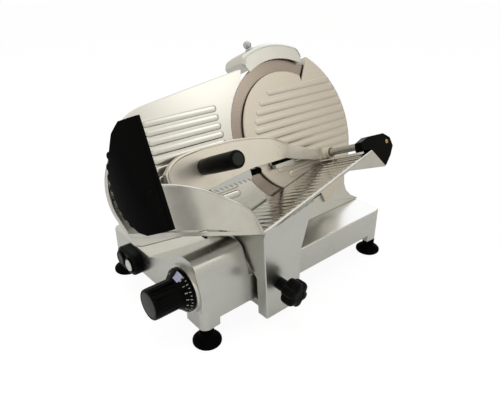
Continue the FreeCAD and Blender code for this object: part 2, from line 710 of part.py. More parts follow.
def carriage_arm():
    """Cast arm in front of the base, flared at the top where it carries the tray."""
    top = d.bladeZ - d.armHeadDrop
    front = body("ArmFront")
    outline = polygon(sketch(front, "XZ_Plane", -arm_front), [
        (arm_left, d.armBottom), (arm_right, d.armBottom), (arm_right, d.armBottom + d.armFlareStart),
        (arm_right + d.armFlare, top), (arm_left - d.armLean, top),
        (arm_left - d.armLean, top - d.armLeanHeight)])
    pad(front, outline, d.armTopDepth, back=True)
    side = body("ArmSide")
    reach = d.armBackReach
    profile = polygon(sketch(side, "YZ_Plane", arm_left - d.armWidth), [
        (arm_front, d.armBottom), (arm_back, d.armBottom), (arm_back, d.armBackBend),
        (arm_back + reach * 0.47, d.armBackBend + reach * 0.47),
        (arm_back + reach, d.armBackBend + reach * 1.06), (arm_back + reach, top),
        (arm_front, top)])
    pad(side, profile, d.armWidth * 3)
    solid = shared("ArmSolid", front, side)
    tools = joined("ArmTools", above_tray(), post_channel(), stud_bore())
    return node(cut("CarriageArm", solid, tools), "carriage_arm")


def above_tray():
    """All the space above the underside of the tray's floor."""
    space = body("AboveTray", blade=True)
    far = d.valleyU + d.baseLength
    near = d.valleyU - d.baseLength / 2
    drawing = polygon(sketch(space, lift=-d.baseDepth / 2), [
        (near, left_floor_v(near) - left_drop), (d.valleyU, d.valleyV - tray_drop),
        (far, floor_v(far) - tray_drop), (far, d.bladeRadius), (near, d.bladeRadius)])
    pad(space, drawing, d.baseDepth * 1.5)
    return space


def post_channel():
    channel = body("PostChannel")
    drawing = rectangle(sketch(channel, "YZ_Plane", arm_left + d.postInset),
                        post_front, d.armBottom - 1, arm_back + 1, d.postTop + d.postGap)
    pad(channel, drawing, d.armWidth - 2 * d.postInset)
    return channel


def stud_bore():
    return rod("StudBore", d.studRadius + d.runningGap, d.armWall + 2, plane="XZ_Plane",
               lift=-arm_front + 1, across=knob_x, up=d.knobZ, back=True)


def star_knob():
    """Six-lobed clamping knob on the arm's front."""
    knob = body("StarKnob")
    knob.Placement = Placement(Vector(), Rotation(Vector(1, 0, 0), 90))
    place(knob, knob_x, arm_front - d.knobGap, d.knobZ)
    pad(knob, circle(sketch(knob), d.knobRadius * 0.45), d.knobNeck + 1)
    pad(knob, circle(sketch(knob, lift=d.knobNeck), d.knobRadius), d.knobDepth)
    scoop = circle(sketch(knob, lift=d.knobNeck - 1), d.knobRadius * 0.33, d.knobRadius * 1.12, 0)
    grooves = pocket(knob, scoop, d.knobDepth + 2, back=True)
    axis = origin_of(knob, "Z_Axis")
    polar(knob, grooves, (axis, [""]), d.knobLobes)
    top = [name for name, edge in numbered(knob.Tip.Shape)
           if edge.BoundBox.ZMin > (d.knobNeck + d.knobDepth).value - 0.1]
    bevel_edges(knob, top, d.knobBevel)
    pocket(knob, circle(sketch(knob, lift=-1), d.studRadius), d.knobNeck + d.studThread + 1,
           back=True)
    return node(knob, "star_knob")


def knob_stud():
    start = d.knobGap + d.knobNeck + d.studThread
    made = rod("KnobStud", d.studRadius, start + d.armDepth - 1, plane="XZ_Plane",
               lift=start - arm_front, across=knob_x, up=d.knobZ, back=True)
    return node(made, "knob_stud")


# ---------------------------------------------------------------- gauge plate

gauge_back = -d.gaugeThick
bracket_left = gauge_rod_x - d.bracketWidth / 2
bracket_front, bracket_low = to_world(d.bracketLowV, gauge_back)


def gauge_plate():
    """Ribbed plate that the food slides along, hollowed at the right to clear the blade."""
    plate = body("GaugePlate", blade=True)
    outline = polygon(sketch(plate, lift=gauge_back), [
        (d.gaugeRightU, d.gaugeTopV), (d.gaugeShoulderU, d.gaugeShoulderV),
        (d.gaugeLeftU, -8), (d.gaugeLeftU + 23, d.gaugeBottomV),
        (d.gaugeRightU - 18, d.gaugeBottomV - 29)])
    pad(plate, outline, d.gaugeThick)
    middle = gauge_back / 2
    for u, v, radius in ((d.gaugeShoulderU, d.gaugeShoulderV, d.gaugeShoulderRound),
                         (d.gaugeLeftU, -8, d.gaugeLeftRound),
                         (d.gaugeLeftU + 23, d.gaugeBottomV, d.gaugeFootRound)):
        round_edges(plate, edges(plate.Tip.Shape, "z", x=u, y=v, z=middle), radius)
    bite = circle(sketch(plate, lift=1), d.bladeRadius + d.gaugeGap)
    pocket(plate, bite, d.gaugeThick + 2)
    front = [name for name, edge in numbered(plate.Tip.Shape)
             if edge.BoundBox.ZMin > -0.1 and edge.BoundBox.ZMax < 0.1]
    bevel_edges(plate, front, d.gaugeEdgeBevel)
    rib = rectangle(sketch(plate), d.gaugeRibLeftU, d.gaugeRibTopV - d.gaugeRibWidth,
                    d.gaugeRibRightU, d.gaugeRibTopV)
    ribs = pad(plate, rib, d.gaugeRibHeight)
    down(plate, ribs, rib, d.gaugeRibPitch, d.gaugeRibCount)
    return node(plate, "gauge_plate")


def down(owner, feature, drawing, pitch, count):
    """Repeat a feature along its own sketch's vertical axis."""
    pattern = owner.newObject("PartDesign::LinearPattern", "LinearPattern")
    pattern.Originals = [feature]
    pattern.Direction = (drawing, ["V_Axis"])
    pattern.Reversed = True
    pattern.Occurrences = int(round(count.value))
    bind(pattern, Length=pitch * (count - 1))
    owner.Tip = pattern
    return settle(pattern)


def gauge_bracket():
    """Upright from the gauge rod in the base to the back of the plate, with the cam follower."""
    high_y, high_z = to_world(d.bracketHighV, gauge_back)
    foot = d.gaugeRodZ - d.gaugeRodRadius - 5
    upright = body("GaugeUpright")
    profile = polygon(sketch(upright, "YZ_Plane", bracket_left), [
        (bracket_front, foot), (d.bracketBackY, foot), (d.bracketBackY, high_z - 45),
        (high_y + 9, high_z - 4), (high_y, high_z), (bracket_front, bracket_low)])
    pad(upright, profile, d.bracketWidth)
    bore = circle(sketch(upright, "XZ_Plane", -bracket_front + 1),
                  d.gaugeRodRadius + d.runningGap, gauge_rod_x, d.gaugeRodZ)
    pocket(upright, bore, d.bracketBackY - bracket_front + 2)
    arm = body("FollowerArm")
    tip = dial_y + d.camInnerRadius + d.followerGap
    bar_top = d.gaugeRodZ + d.gaugeRodRadius + 2
    bar = rectangle(sketch(arm, lift=foot + 4), cam_x - d.camThick, tip, bracket_left,
                    tip + d.followerThick)
    pad(arm, bar, bar_top - foot - 4)
    heel = rectangle(sketch(arm, lift=foot + 4), bracket_left - d.followerThick, tip,
                     bracket_left, d.bracketBackY - 4)
    pad(arm, heel, bar_top - foot - 4)
    nose = rectangle(sketch(arm, lift=bar_top), cam_x - d.camThick, tip, cam_x,
                     tip + d.followerThick)
    pad(arm, nose, d.dialZ - 0.5 - bar_top)
    return node(joined("GaugeBracket", upright, arm), "gauge_bracket")


def gauge_rod():
    length = half_depth - 2 - rib_y
    return node(rod("GaugeRod", d.gaugeRodRadius, length, plane="XZ_Plane", lift=-rib_y,
                    across=gauge_rod_x, up=d.gaugeRodZ, back=True), "gauge_rod")


# ---------------------------------------------------------------- blade and drive

hub_back = -d.bladeDish - d.bladeThick - d.hubThick
dish_radius = d.bladeRadius - d.bladeRim


def blade():
    """Hollow-ground round blade: dished front, bevelled behind the edge."""
    disc = body("Blade", blade=True)
    dish = -d.bladeDish
    back = dish - d.bladeThick
    bevel = d.bladeRadius - d.bevelWidth
    profile = polygon(sketch(disc, "XZ_Plane"), [
        (d.bladeBoreRadius, dish), (dish_radius, dish), (d.bladeRadius, -0.2),
        (bevel, -d.bladeDish * 0.32 - d.bladeThick),
        (dish_radius, back), (d.bladeBoreRadius, back)])
    revolve(disc, profile)
    return node(disc, "blade")


def blade_hub():
    """Flanged hub and hollow shaft that carry the blade."""
    hub = body("BladeHub", blade=True)
    nose = -d.bladeDish + 1
    profile = polygon(sketch(hub, "XZ_Plane"), [
        (d.shaftBoreRadius, nose), (d.bladeBoreRadius, nose), (d.bladeBoreRadius, hub_back + d.hubThick),
        (d.hubRadius, hub_back + d.hubThick), (d.hubRadius, hub_back), (d.shaftRadius + 3, hub_back),
        (d.shaftRadius + 3, -d.bearingFront + 0.3), (d.shaftRadius, -d.bearingFront + 0.3),
        (d.shaftRadius, -d.shaftBack), (d.shaftBoreRadius, -d.shaftBack)])
    revolve(hub, profile)
    return node(hub, "blade_shaft")


def blade_screws():
    """Four screws that hold the blade to its hub, one node."""
    screws = body("BladeScrews", blade=True)
    head = circle(sketch(screws, lift=-d.bladeDish), d.bladeScrewRadius,
                  (d.bladeBoreRadius + d.hubRadius) / 2, 0)
    first = pad(screws, head, d.bladeScrewHead)
    axis = origin_of(screws, "Z_Axis")
    polar(screws, first, (axis, [""]), 4)
    return node(screws, "blade_screws")


def bearing(name, front):
    made = rod(name, d.bearingRadius, d.bearingWidth, blade=True, lift=-front - d.bearingWidth,
               bore=d.shaftRadius + d.runningGap)
    return node(made, name)


def pulleys_and_belt():
    back = -d.pulleyFront - d.pulleyWidth
    node(rod("BladePulley", d.pulleyRadius, d.pulleyWidth, blade=True, lift=back,
             bore=d.shaftRadius), "blade_pulley")
    node(rod("MotorPulley", d.motorPulleyRadius, d.pulleyWidth, blade=True, lift=back,
             across=d.motorU, up=d.motorV, bore=d.motorShaftRadius), "motor_pulley")
    node(rod("MotorShaft", d.motorShaftRadius, d.motorFront - d.pulleyFront + 10, blade=True,
             lift=-d.motorFront - 10, across=d.motorU, up=d.motorV), "motor_shaft")
    belt()


def belt():
    """Open belt: two arcs and the tangent runs between them."""
    back = -(d.pulleyFront + (d.pulleyWidth + d.beltWidth) / 2).value
    gap = d.beltGap.value
    radii = d.pulleyRadius.value + gap, d.motorPulleyRadius.value + gap
    thick = d.beltThick.value
    outer = belt_face(back, radii[0] + thick, radii[1] + thick)
    inner = belt_face(back, *radii)
    made = doc.addObject("Part::Feature", "DriveBelt")
    made.Shape = outer.cut(inner).extrude(Vector(0, 0, d.beltWidth.value))
    on_blade(made)
    return node(made, "drive_belt")


def belt_face(back, large, small):
    """Face inside a line drawn tightly round the blade's and the motor's pulleys."""
    origin = Vector(0, 0, back)
    centre = Vector(d.motorU.value, d.motorV.value, back)
    direction = math.atan2(centre.y, centre.x)
    spread = math.acos((large - small) / math.hypot(centre.x, centre.y))

    def spot(middle, radius, angle):
        return middle + Vector(math.cos(angle), math.sin(angle), 0) * radius

    up, low = direction + spread, direction - spread
    far_side = spot(origin, large, direction + math.pi)
    near_side = spot(centre, small, direction)
    wire = Part.Wire([
        Part.Arc(spot(origin, large, up), far_side, spot(origin, large, low)).toShape(),
        Part.makeLine(spot(origin, large, low), spot(centre, small, low)),
        Part.Arc(spot(centre, small, low), near_side, spot(centre, small, up)).toShape(),
        Part.makeLine(spot(centre, small, up), spot(origin, large, up))])
    return Part.Face(wire)


def motor():
    made = rod("Motor", d.motorRadius, d.motorLength, blade=True,
               lift=-d.motorFront - d.motorLength, across=d.motorU, up=d.motorV)
    shaft = circle(sketch(made, lift=-d.motorFront + 1), d.motorShaftRadius + d.runningGap,
                   d.motorU, d.motorV)
    pocket(made, shaft, 12)
    return node(made, "motor")


def motor_mount():
    """Plate on the motor's front, with three posts to the back of the blade housing."""
    mount = body("MotorMount", blade=True)
    plate = circle(sketch(mount, lift=-d.motorFront), d.motorRadius - 2, d.motorU, d.motorV)
    circle(plate, d.motorShaftRadius + 6, d.motorU, d.motorV)
    pad(mount, plate, d.mountThick)
    posts = sketch(mount, lift=-d.motorFront + 1)
    reach = d.motorRadius - 8
    for turn in (-50, 0, 50):
        angle = d.mountAngle + turn
        circle(posts, d.mountPostRadius, d.motorU + reach * cosine(angle),
               d.motorV + reach * sine(angle))
    pad(mount, posts, d.motorFront - d.housingBack - 1)
    return node(mount, "motor_mount")


# ---------------------------------------------------------------- blade housing

web_front = -d.housingBack + d.housingWeb
ring_inner = d.bladeRadius + d.ringGap
ring_outer = ring_inner + d.ringWidth
web_radius = d.bladeRadius - d.webInset


def blade_housing():
    """Casting that carries the blade: web, guard ring at the far side, bearing boss, pedestal."""
    web = body("HousingWeb", blade=True)
    pad(web, circle(sketch(web, lift=-d.housingBack), web_radius), d.housingWeb)
    left = rectangle(sketch(web, lift=web_front + 1), -ring_outer, -ring_outer,
                     d.housingLeftU, ring_outer)
    pocket(web, left, d.housingWeb + 2)
    boss = circle(sketch(web, lift=-d.bossBack), d.bearingBossRadius)
    pad(web, boss, d.bossBack - d.bearingFront + 2)
    rim = ring_sector("HousingRim", ring_inner + 1, web_radius - 8, -d.housingBack,
                      web_front, -d.coverLowAngle, d.coverEdgeAngle)
    solid = joined("HousingSolid", web, rim, guard_ring(), pedestal())
    bores = body("BearingBores", blade=True)
    pad(bores, circle(sketch(bores, lift=-d.bossBack - 1), d.bearingRadius),
        d.bossBack - d.bearingFront + 4)
    return node(cut("BladeHousing", solid, joined("HousingTools", bores, below_base())),
                "blade_housing")


def ring_sector(name, radius, hole, back, front, low, high):
    """Part of a ring round the blade's axis between two angles, the cover's and the guard's form."""
    ring = body(name + "Ring", blade=True)
    drawing = circle(sketch(ring, lift=back), radius)
    circle(drawing, hole)
    pad(ring, drawing, front - back)
    wedge = body(name + "Wedge", blade=True)
    reach = radius * 1.5
    corners = [(0, 0)]
    for share in (0, 0.33, 0.67, 1):
        angle = low + (high - low) * share
        corners.append((reach * cosine(angle), reach * sine(angle)))
    pad(wedge, polygon(sketch(wedge, lift=back - 1), corners), front - back + 2)
    return shared(name, ring, wedge)


def guard_ring():
    return ring_sector("GuardRing", ring_outer, ring_inner, -d.housingBack, d.ringFront,
                       -d.coverLowAngle, d.coverEdgeAngle)


def pedestal():
    """Foot of the blade housing, flared to the right where it meets the base."""
    foot = body("Pedestal", blade=True)
    right = d.driveRightU
    waist = right - d.pedestalWaist
    high, low = -d.bladeRadius * 0.72, d.driveFootV
    outline = polygon(sketch(foot, lift=-d.housingBack), [
        (d.housingLeftU, high), (d.housingLeftU, low), (right + d.pedestalToe, low),
        (right + d.pedestalToe, -d.bladeRadius * 1.25),
        (right - d.pedestalWaist * 0.4, -d.bladeRadius * 1.18), (waist, -d.bladeRadius * 1.08),
        (waist, -d.bladeRadius * 0.98), (right - d.pedestalWaist * 0.5, -d.bladeRadius * 0.83),
        (right / 2, high)])
    pad(foot, outline, d.housingBack - d.pedestalSetback)
    hollow = circle(sketch(foot, lift=web_front), ring_inner)
    pocket(foot, hollow, d.housingBack - d.pedestalSetback, back=True)
    return foot


def below_base():
    """All the space below the base's top, used to trim what stands on it."""
    space = doc.addObject("Part::Box", "BelowBase")
    bind(space, Length=d.baseLength * 2, Width=d.baseDepth * 2, Height=d.baseTop * 2)
    place(space, -d.baseLength, -d.baseDepth, -d.baseTop)
    doc.recompute()
    return space


def drive_housing():
    """Shell behind the blade over the pulleys and the motor, open to the web and to the base."""
    outer = drive_block("DriveOuter", 0)
    outer_round = [name for name, edge in numbered(outer.Tip.Shape)
                   if isinstance(edge.Curve, Part.Line) and abs(edge.Curve.Direction.z) > 0.99
                   and edge.CenterOfMass.y > 0]
    round_edges(outer, outer_round, d.driveRound)
    inner = drive_block("DriveInner", d.driveWall)
    tie = rod("TieRodBore", d.tieRodRadius + 0.5, d.driveWall + 4, blade=True,
              lift=-d.driveStep - 2)
    tools = joined("DriveTools", inner, tie, below_base())
    return node(cut("DriveHousing", outer, tools), "drive_housing")


def drive_block(name, inset):
    block = body(name, blade=True)
    front = -d.housingBack + (0 if inset == 0 else 1)
    step = -d.driveStep + inset
    back = -d.driveBack + inset
    profile = polygon(sketch(block, "YZ_Plane", d.housingLeftU + inset), [
        (d.driveTopV - inset, front), (d.driveTopV - inset, step),
        (d.driveShelfV - inset, step), (d.driveShelfV - inset - d.driveShelfFall, back),
        (d.driveFootV, back), (d.driveFootV, front)])
    pad(block, profile, d.driveRightU - d.housingLeftU - 2 * inset)
    return block


def slice_deflector():
    """Bent sheet behind the blade that turns the slices down onto the base."""
    sheet_part = body("DeflectorSheet", blade=True)
    thick = d.deflectorThick
    near = d.housingLeftU
    far = -dish_radius - 8
    drawing = polygon(sketch(sheet_part, "XZ_Plane", -d.deflectorTopV), [
        (near, -d.housingBack + 4), (near - 14, -d.housingBack + 4), (far, -d.deflectorFront - thick),
        (far, -d.deflectorFront), (near - 12, -d.housingBack + 4 + thick * 2),
        (near, -d.housingBack + 4 + thick * 2)])
    pad(sheet_part, drawing, d.deflectorTopV + d.deflectorBottomV)
    reach = rod("DeflectorReach", d.bladeRadius - 8, d.housingBack, blade=True,
                lift=-d.housingBack)
    return node(shared("SliceDeflector", sheet_part, reach), "slice_deflector")


# ---------------------------------------------------------------- blade cover

cover_front = d.ringFront + d.coverThick
cover_radius = d.bladeRadius - d.coverInset
rib_circle = cover_radius - d.coverRibInset


def blade_cover():
    """Plate over the blade's middle and its far side, ribbed along the slicing stroke."""
    disc = body("CoverDisc", blade=True)
    pad(disc, circle(sketch(disc, lift=d.ringFront), cover_radius), d.coverThick)
    edge = [name for name, item in numbered(disc.Tip.Shape)
            if abs(item.BoundBox.ZMin - cover_front.value) < 0.1]
    bevel_edges(disc, edge, d.coverEdgeBevel)
    side = ring_sector("CoverSide", ring_outer - 1, cover_radius - 6, d.ringFront, cover_front,
                       -d.coverLowAngle, d.coverEdgeAngle)
    boss = rod("CoverBoss", d.tieRodRadius + 6, d.ringFront + d.bladeDish - 1.4, blade=True,
               lift=-d.bladeDish + 1.4)
    slot = body("CoverSlot", blade=True)
    low, high = d.coverEdgeAngle, d.coverEdgeAngle + 6
    inner, outer = cover_radius - 9, cover_radius + 8
    drawing = polygon(sketch(slot, lift=-1), [
        (inner * cosine(low), inner * sine(low)), (outer * cosine(low), outer * sine(low)),
        (outer * cosine(high), outer * sine(high))])
    pad(slot, drawing, 9)
    whole = joined("CoverWhole", disc, side, boss, cover_ribs())
    return node(cut("BladeCover", whole, slot), "blade_cover")


def cover_ribs():
    bars = body("CoverBars", blade=True)
    top = (d.coverRibCount - 1) / 2 * d.coverRibPitch + d.coverRibWidth / 2
    bar = rectangle(sketch(bars, lift=cover_front - 0.5), -rib_circle - 1,
                    top - d.coverRibWidth, ring_outer, top)
    first = pad(bars, bar, d.coverRibHeight + 0.5)
    down(bars, first, bar, d.coverRibPitch, d.coverRibCount)
    height = cover_front + 2 * d.coverRibHeight
    field = rod("CoverField", rib_circle, height, blade=True)
    right = ring_sector("CoverFieldRight", ring_outer - 2.5, rib_circle - 5, d.ringFront, height,
                        -d.ribFieldAngle, d.ribFieldAngle)
    return shared("CoverRibs", bars, joined("CoverRibField", field, right))


def tie_rod():
    made = rod("TieRod", d.tieRodRadius, d.tieRodBack - 2, blade=True, lift=-d.tieRodBack)
    return node(made, "cover_tie_rod")


def tie_knob():
    """Knurled knob behind the drive housing that draws the blade cover tight."""
    knob = body("TieKnob", blade=True)
    front = -d.driveStep - d.knobGap
    pad(knob, circle(sketch(knob, lift=front - d.tieKnobDepth), d.tieKnobRadius), d.tieKnobDepth)
    flute = circle(sketch(knob, lift=front - d.tieKnobDepth - 1), 2.5, d.tieKnobRadius + 1, 0)
    grooves = pocket(knob, flute, d.tieKnobDepth - 3, back=True)
    axis = origin_of(knob, "Z_Axis")
    polar(knob, grooves, (axis, [""]), d.tieKnobFlutes)
    bore = circle(sketch(knob, lift=front + 1), d.tieRodRadius + d.runningGap)
    pocket(knob, bore, d.tieRodBack - d.driveStep + 2)
    return node(knob, "tie_rod_knob")


# ---------------------------------------------------------------- sharpener

hood_inner = d.bladeRadius + d.hoodGap
hood_outer = hood_inner + d.hoodHeight
stone_v = d.bladeRadius + d.stoneRise


def sharpener_hood():
    """Cast hood over the top of the blade, open below where the stones reach the edge."""
    low, high = 90 - d.sharpenerHalfAngle, 90 + d.sharpenerHalfAngle
    outer = ring_sector("HoodOuter", hood_outer, hood_inner, -d.sharpenerBack,
                        d.sharpenerFront, low, high)
    inner = ring_sector("HoodInner", hood_outer - d.sharpenerWall, hood_inner - 2,
                        -d.sharpenerBack + d.sharpenerWall, d.sharpenerFront - d.sharpenerWall,
                        low + 2, high - 2)
    lip = ring_sector("HoodLip", hood_inner + 3, d.bladeRadius - 1.5, d.sharpenerFront - 2.5,
                      d.sharpenerFront, low, high)
    shell = cut("HoodShell", joined("HoodBlank", outer, lip), inner)
    stems = body("HoodStems", blade=True)
    bores = sketch(stems, lift=-d.sharpenerBack - 1)
    for side in (-1, 1):
        circle(bores, d.buttonStemRadius + d.runningGap, side * d.stoneU, stone_v)
    pad(stems, bores, d.sharpenerWall + 2)
    return node(cut("SharpenerHood", shell, stems), "sharpener_hood")


def stone(name, side, label):
    made = rod(name, d.stoneRadius, d.stoneThick, blade=True, lift=-d.stoneFront - d.stoneThick,
               across=side * d.stoneU, up=stone_v)
    return node(made, label)


def stone_button(name, side, label):
    """Push rod from a stone out through the hood's back, with a button on its end."""
    made = body(name, blade=True)
    back = -d.sharpenerBack - d.stoneButtonTravel - d.pushHead - 1
    centre = side * d.stoneU, stone_v
    pad(made, circle(sketch(made, lift=back), d.buttonStemRadius, *centre),
        -d.stoneFront - d.stoneThick - back)
    pad(made, circle(sketch(made, lift=back), d.buttonStemRadius * 1.9, *centre), d.pushHead)
    return node(made, label)


def sharpener_bracket():
    """Upright behind the blade that the sharpener stands on."""
    made = body("SharpenerBracket", blade=True)
    half = d.hoodBracketHalf
    top = hood_outer - 2 * d.sharpenerWall
    outline = polygon(sketch(made, lift=-d.sharpenerBack - d.knobGap - d.hoodBracketThick), [
        (-half, d.driveTopV), (half, d.driveTopV), (half, hood_inner), (half * 0.7, top),
        (-half * 0.7, top), (-half, hood_inner)])
    pad(made, outline, d.hoodBracketThick)
    return node(made, "sharpener_bracket")


def sharpener_knob():
    """Polished push knob on the hood's shoulder, on a dark collar."""
    made = body("SharpenerKnob", blade=True)
    turn = d.sharpenerKnobAngle - 90
    profile = sketch(made, "XY_Plane", -d.sharpenerKnobDepth, turn=turn)
    base = hood_outer
    ball, collar = d.knobBallRadius, base + d.knobCollarHeight
    top = base + d.knobHeight
    polygon(profile, [(0, base), (d.knobCollar, base), (d.knobCollar, collar),
                      (ball * 0.7, collar), (ball, collar + ball * 0.7), (ball, top - ball * 0.5),
                      (ball * 0.6, top), (0, top)])
    revolve(made, profile)
    return node(made, "sharpener_knob")


# ---------------------------------------------------------------- tray

def food_tray():
    """Trough-shaped tray: ribbed floor, rising end floor, curved wall and outer gusset."""
    floor = body("TrayFloor", blade=True)
    width = d.trayOuter - d.trayInner
    right_v = floor_v(d.trayRightU)
    section = polygon(sketch(floor, lift=d.trayInner), [
        (d.valleyU, d.valleyV - tray_drop), (d.trayRightU, right_v - tray_drop),
        (d.trayRightU, right_v), (d.valleyU, d.valleyV)])
    pad(floor, section, width)
    ribs(floor, width)
    root = d.trayRightU - d.gussetLength
    gusset = polygon(sketch(floor, lift=d.trayOuter - d.gussetThick), [
        (d.trayRightU, right_v), (root, floor_v(root) - 1), (root, right_v - d.gussetDrop * 0.53),
        (d.trayRightU + d.gussetNose, right_v - d.gussetDrop)])
    pad(floor, gusset, d.gussetThick)
    whole = joined("TrayWhole", floor, tray_end(), tray_wall())
    return node(cut("FoodTray", whole, rivet_bores()), "food_tray")


def ribs(floor, width):
    """Shallow ribs across the ribbed floor, along the feed."""
    half = d.trayRibWidth / 2
    first = d.valleyU + d.trayRibPitch
    v = floor_v(first)
    slope = tangent(d.trayRise)
    drawing = polygon(sketch(floor, lift=d.trayInner + 1), [
        (first - half, v - half * slope - 1), (first + half, v + half * slope - 1),
        (first + half * 0.6, v + half * slope + d.trayRibHeight),
        (first - half * 0.6, v - half * slope + d.trayRibHeight)])
    rib = pad(floor, drawing, width - 2)
    pattern = floor.newObject("PartDesign::LinearPattern", "LinearPattern")
    pattern.Originals = [rib]
    lower = floor_v((d.valleyU + d.trayRightU) / 2) - 1
    edge = next(name for name, item in numbered(floor.Tip.Shape)
                if isinstance(item.Curve, Part.Line) and item.Length > d.wallRadius.value
                and item.CenterOfMass.z < d.trayInner.value + 0.1
                and item.CenterOfMass.y < lower.value)
    pattern.Direction = (floor.Tip, [edge])
    pattern.Occurrences = int(round(d.trayRibCount.value))
    bind(pattern, Length=d.trayRibPitch * (d.trayRibCount - 1) / cosine(d.trayRise))
    floor.Tip = pattern
    settle(pattern)
    if pattern.Shape.BoundBox.XMin < (d.valleyU - d.trayRibPitch).value:
        pattern.Reversed = True
        settle(pattern)


def tray_end():
    """Floor on the operator's side of the valley, rounded in plan to the curved wall."""
    slab = body("EndSlab", blade=True)
    far = d.valleyU - d.wallRadius * 1.3
    section = polygon(sketch(slab, lift=d.trayInner), [
        (d.valleyU, d.valleyV - tray_drop), (d.valleyU, d.valleyV), (far, left_floor_v(far)),
        (far, left_floor_v(far) - left_drop)])
    pad(slab, section, d.trayOuter - d.trayInner + 4)
    return shared("TrayEnd", slab, wall_cylinder("EndPlan", 0))


def wall_cylinder(name, grow):
    """Upright cylinder that the curved wall follows, its axis up the blade plane."""
    made = body(name, blade=True)
    drawing = circle(sketch(made, "XZ_Plane", -d.guardTopV * 1.5), d.wallRadius + grow,
                     d.wallCentreU, d.wallCentreW)
    pad(made, drawing, d.guardTopV * 4.5)
    return made


def tray_wall():
    """Curved wall between the valley and the hand guard, its rim falling to the valley."""
    ring = cut("WallRing", wall_cylinder("WallOuter", 0), wall_cylinder("WallInner", -d.wallThick))
    face = body("WallFace", blade=True)
    rim = ((0.02, -0.02), (0.10, 0.33), (0.21, 0.46), (0.37, 0.62), (0.53, 0.79), (0.75, 0.95),
           (0.87, 1), (1, 1))
    foot = ((1, 0.45), (0.74, 0.35), (0.55, 0.27), (0.36, 0.16), (0.13, 0.05), (0.02, -0.05))
    outline = polygon(sketch(face, lift=d.trayInner), [
        (d.valleyU - d.wallRun * run, d.valleyV + d.wallRise * rise) for run, rise in rim + foot])
    pad(face, outline, d.trayOuter * 1.3)
    return shared("TrayWall", ring, face)


# ---------------------------------------------------------------- hand guard

def hand_guard():
    """Curved black guard on the tray's wall, its free edge scalloped for the hand."""
    ring = cut("GuardShell", wall_cylinder("GuardOuter", d.guardThick), wall_cylinder("GuardInner", 0))
    face = body("GuardFace", blade=True)
    edge, high, low = d.guardEdgeW, d.guardTopV, d.guardBottomV
    start = d.wallCentreU - d.wallRadius * 1.15
    drawing = polygon(sketch(face, "YZ_Plane", start), [
        (low, edge), (high, edge), (high, edge * 0.72), (high * 0.84, edge * 0.53),
        (high * 0.62, edge * 0.4), (high * 0.34, edge * 0.23), (high * 0.08, edge * 0.12),
        (low * 0.16, edge * 0.11), (low * 0.4, edge * 0.12), (low * 0.58, edge * 0.19),
        (low * 0.76, edge * 0.32), (low * 0.92, edge * 0.45), (low, edge * 0.61)])
    pad(face, drawing, d.wallRadius)
    bumps = sketch(face, "YZ_Plane", start)
    for rise, share in ((0.48, 0.34), (0.29, 0.233), (0.105, 0.16), (-0.084, 0.14),
                        (-0.273, 0.147), (-0.455, 0.18), (-0.63, 0.253), (-0.783, 0.36)):
        circle(bumps, d.scallopRadius, high * rise, edge * share)
    pad(face, bumps, d.wallRadius)
    return node(cut("HandGuard", shared("GuardWhole", ring, face), rivet_bores()), "hand_guard")


rivet_spots = ((d.rivetAngle, d.rivetTopV),
               (d.rivetAngle - d.rivetSlant, d.rivetTopV - d.rivetSpacing))


def guard_rivets():
    """Two round-headed rivets through the guard and the wall, one node."""
    both = [guard_rivet(name, *spot) for name, spot in zip(("UpperRivet", "LowerRivet"), rivet_spots)]
    return node(joined("GuardRivets", *both), "guard_rivets")


def rivet_bores():
    """The two holes that the rivets fill, as a tool."""
    bores = body("RivetBores", blade=True)
    for angle, v in rivet_spots:
        drawing = rectangle(
            sketch(bores, "XZ_Plane", -v, angle - 90, d.wallCentreU, d.wallCentreW),
            0, d.wallRadius - 10, d.rivetRadius, d.wallRadius + 10)
        revolve(bores, drawing)
    return bores


def guard_rivet(name, angle, v):
    made = body(name, blade=True)
    inside = d.wallRadius - d.wallThick
    outside = d.wallRadius + d.guardThick
    shank = d.rivetRadius
    head = shank + d.rivetHead
    profile = polygon(sketch(made, "XZ_Plane", -v, angle - 90, d.wallCentreU, d.wallCentreW), [
        (0, inside - d.rivetHead), (shank, inside - d.rivetHead), (shank, outside),
        (head, outside), (shank, outside + d.rivetHead), (0, outside + d.rivetHead)])
    revolve(made, profile)
    return made


# ---------------------------------------------------------------- pusher

rod_u, rod_v = d.pusherRodU, d.pusherRodV


def pusher_outline():
    """Corners of the pusher seen along the feed, from its upper left round to its lower left."""
    reach = d.hubOuterRadius

    def at(run, fall):
        return (d.pusherLeftU + (d.pusherRidgeU - d.pusherLeftU) * run,
                d.pusherTopV - d.pusherDepth * fall)

    top = [at(0.06, 0.17), at(0.14, 0.06), at(0.33, 0), at(0.64, 0.02), at(0.82, 0.09), at(1, 0.21),
           at(1.21, 0.51)]
    hub = [(rod_u - reach * 2.5, rod_v + reach * 1.33), (rod_u, rod_v + reach * 0.95),
           (rod_u, rod_v - reach * 0.86), (rod_u - reach * 2.86, rod_v - reach * 0.38)]
    low = [at(1.13, 0.82), at(0.75, 0.79), at(0.51, 0.86), at(0.27, 0.955), at(0.06, 1), at(0, 0.88),
           at(0, 0.35)]
    return top + hub + low


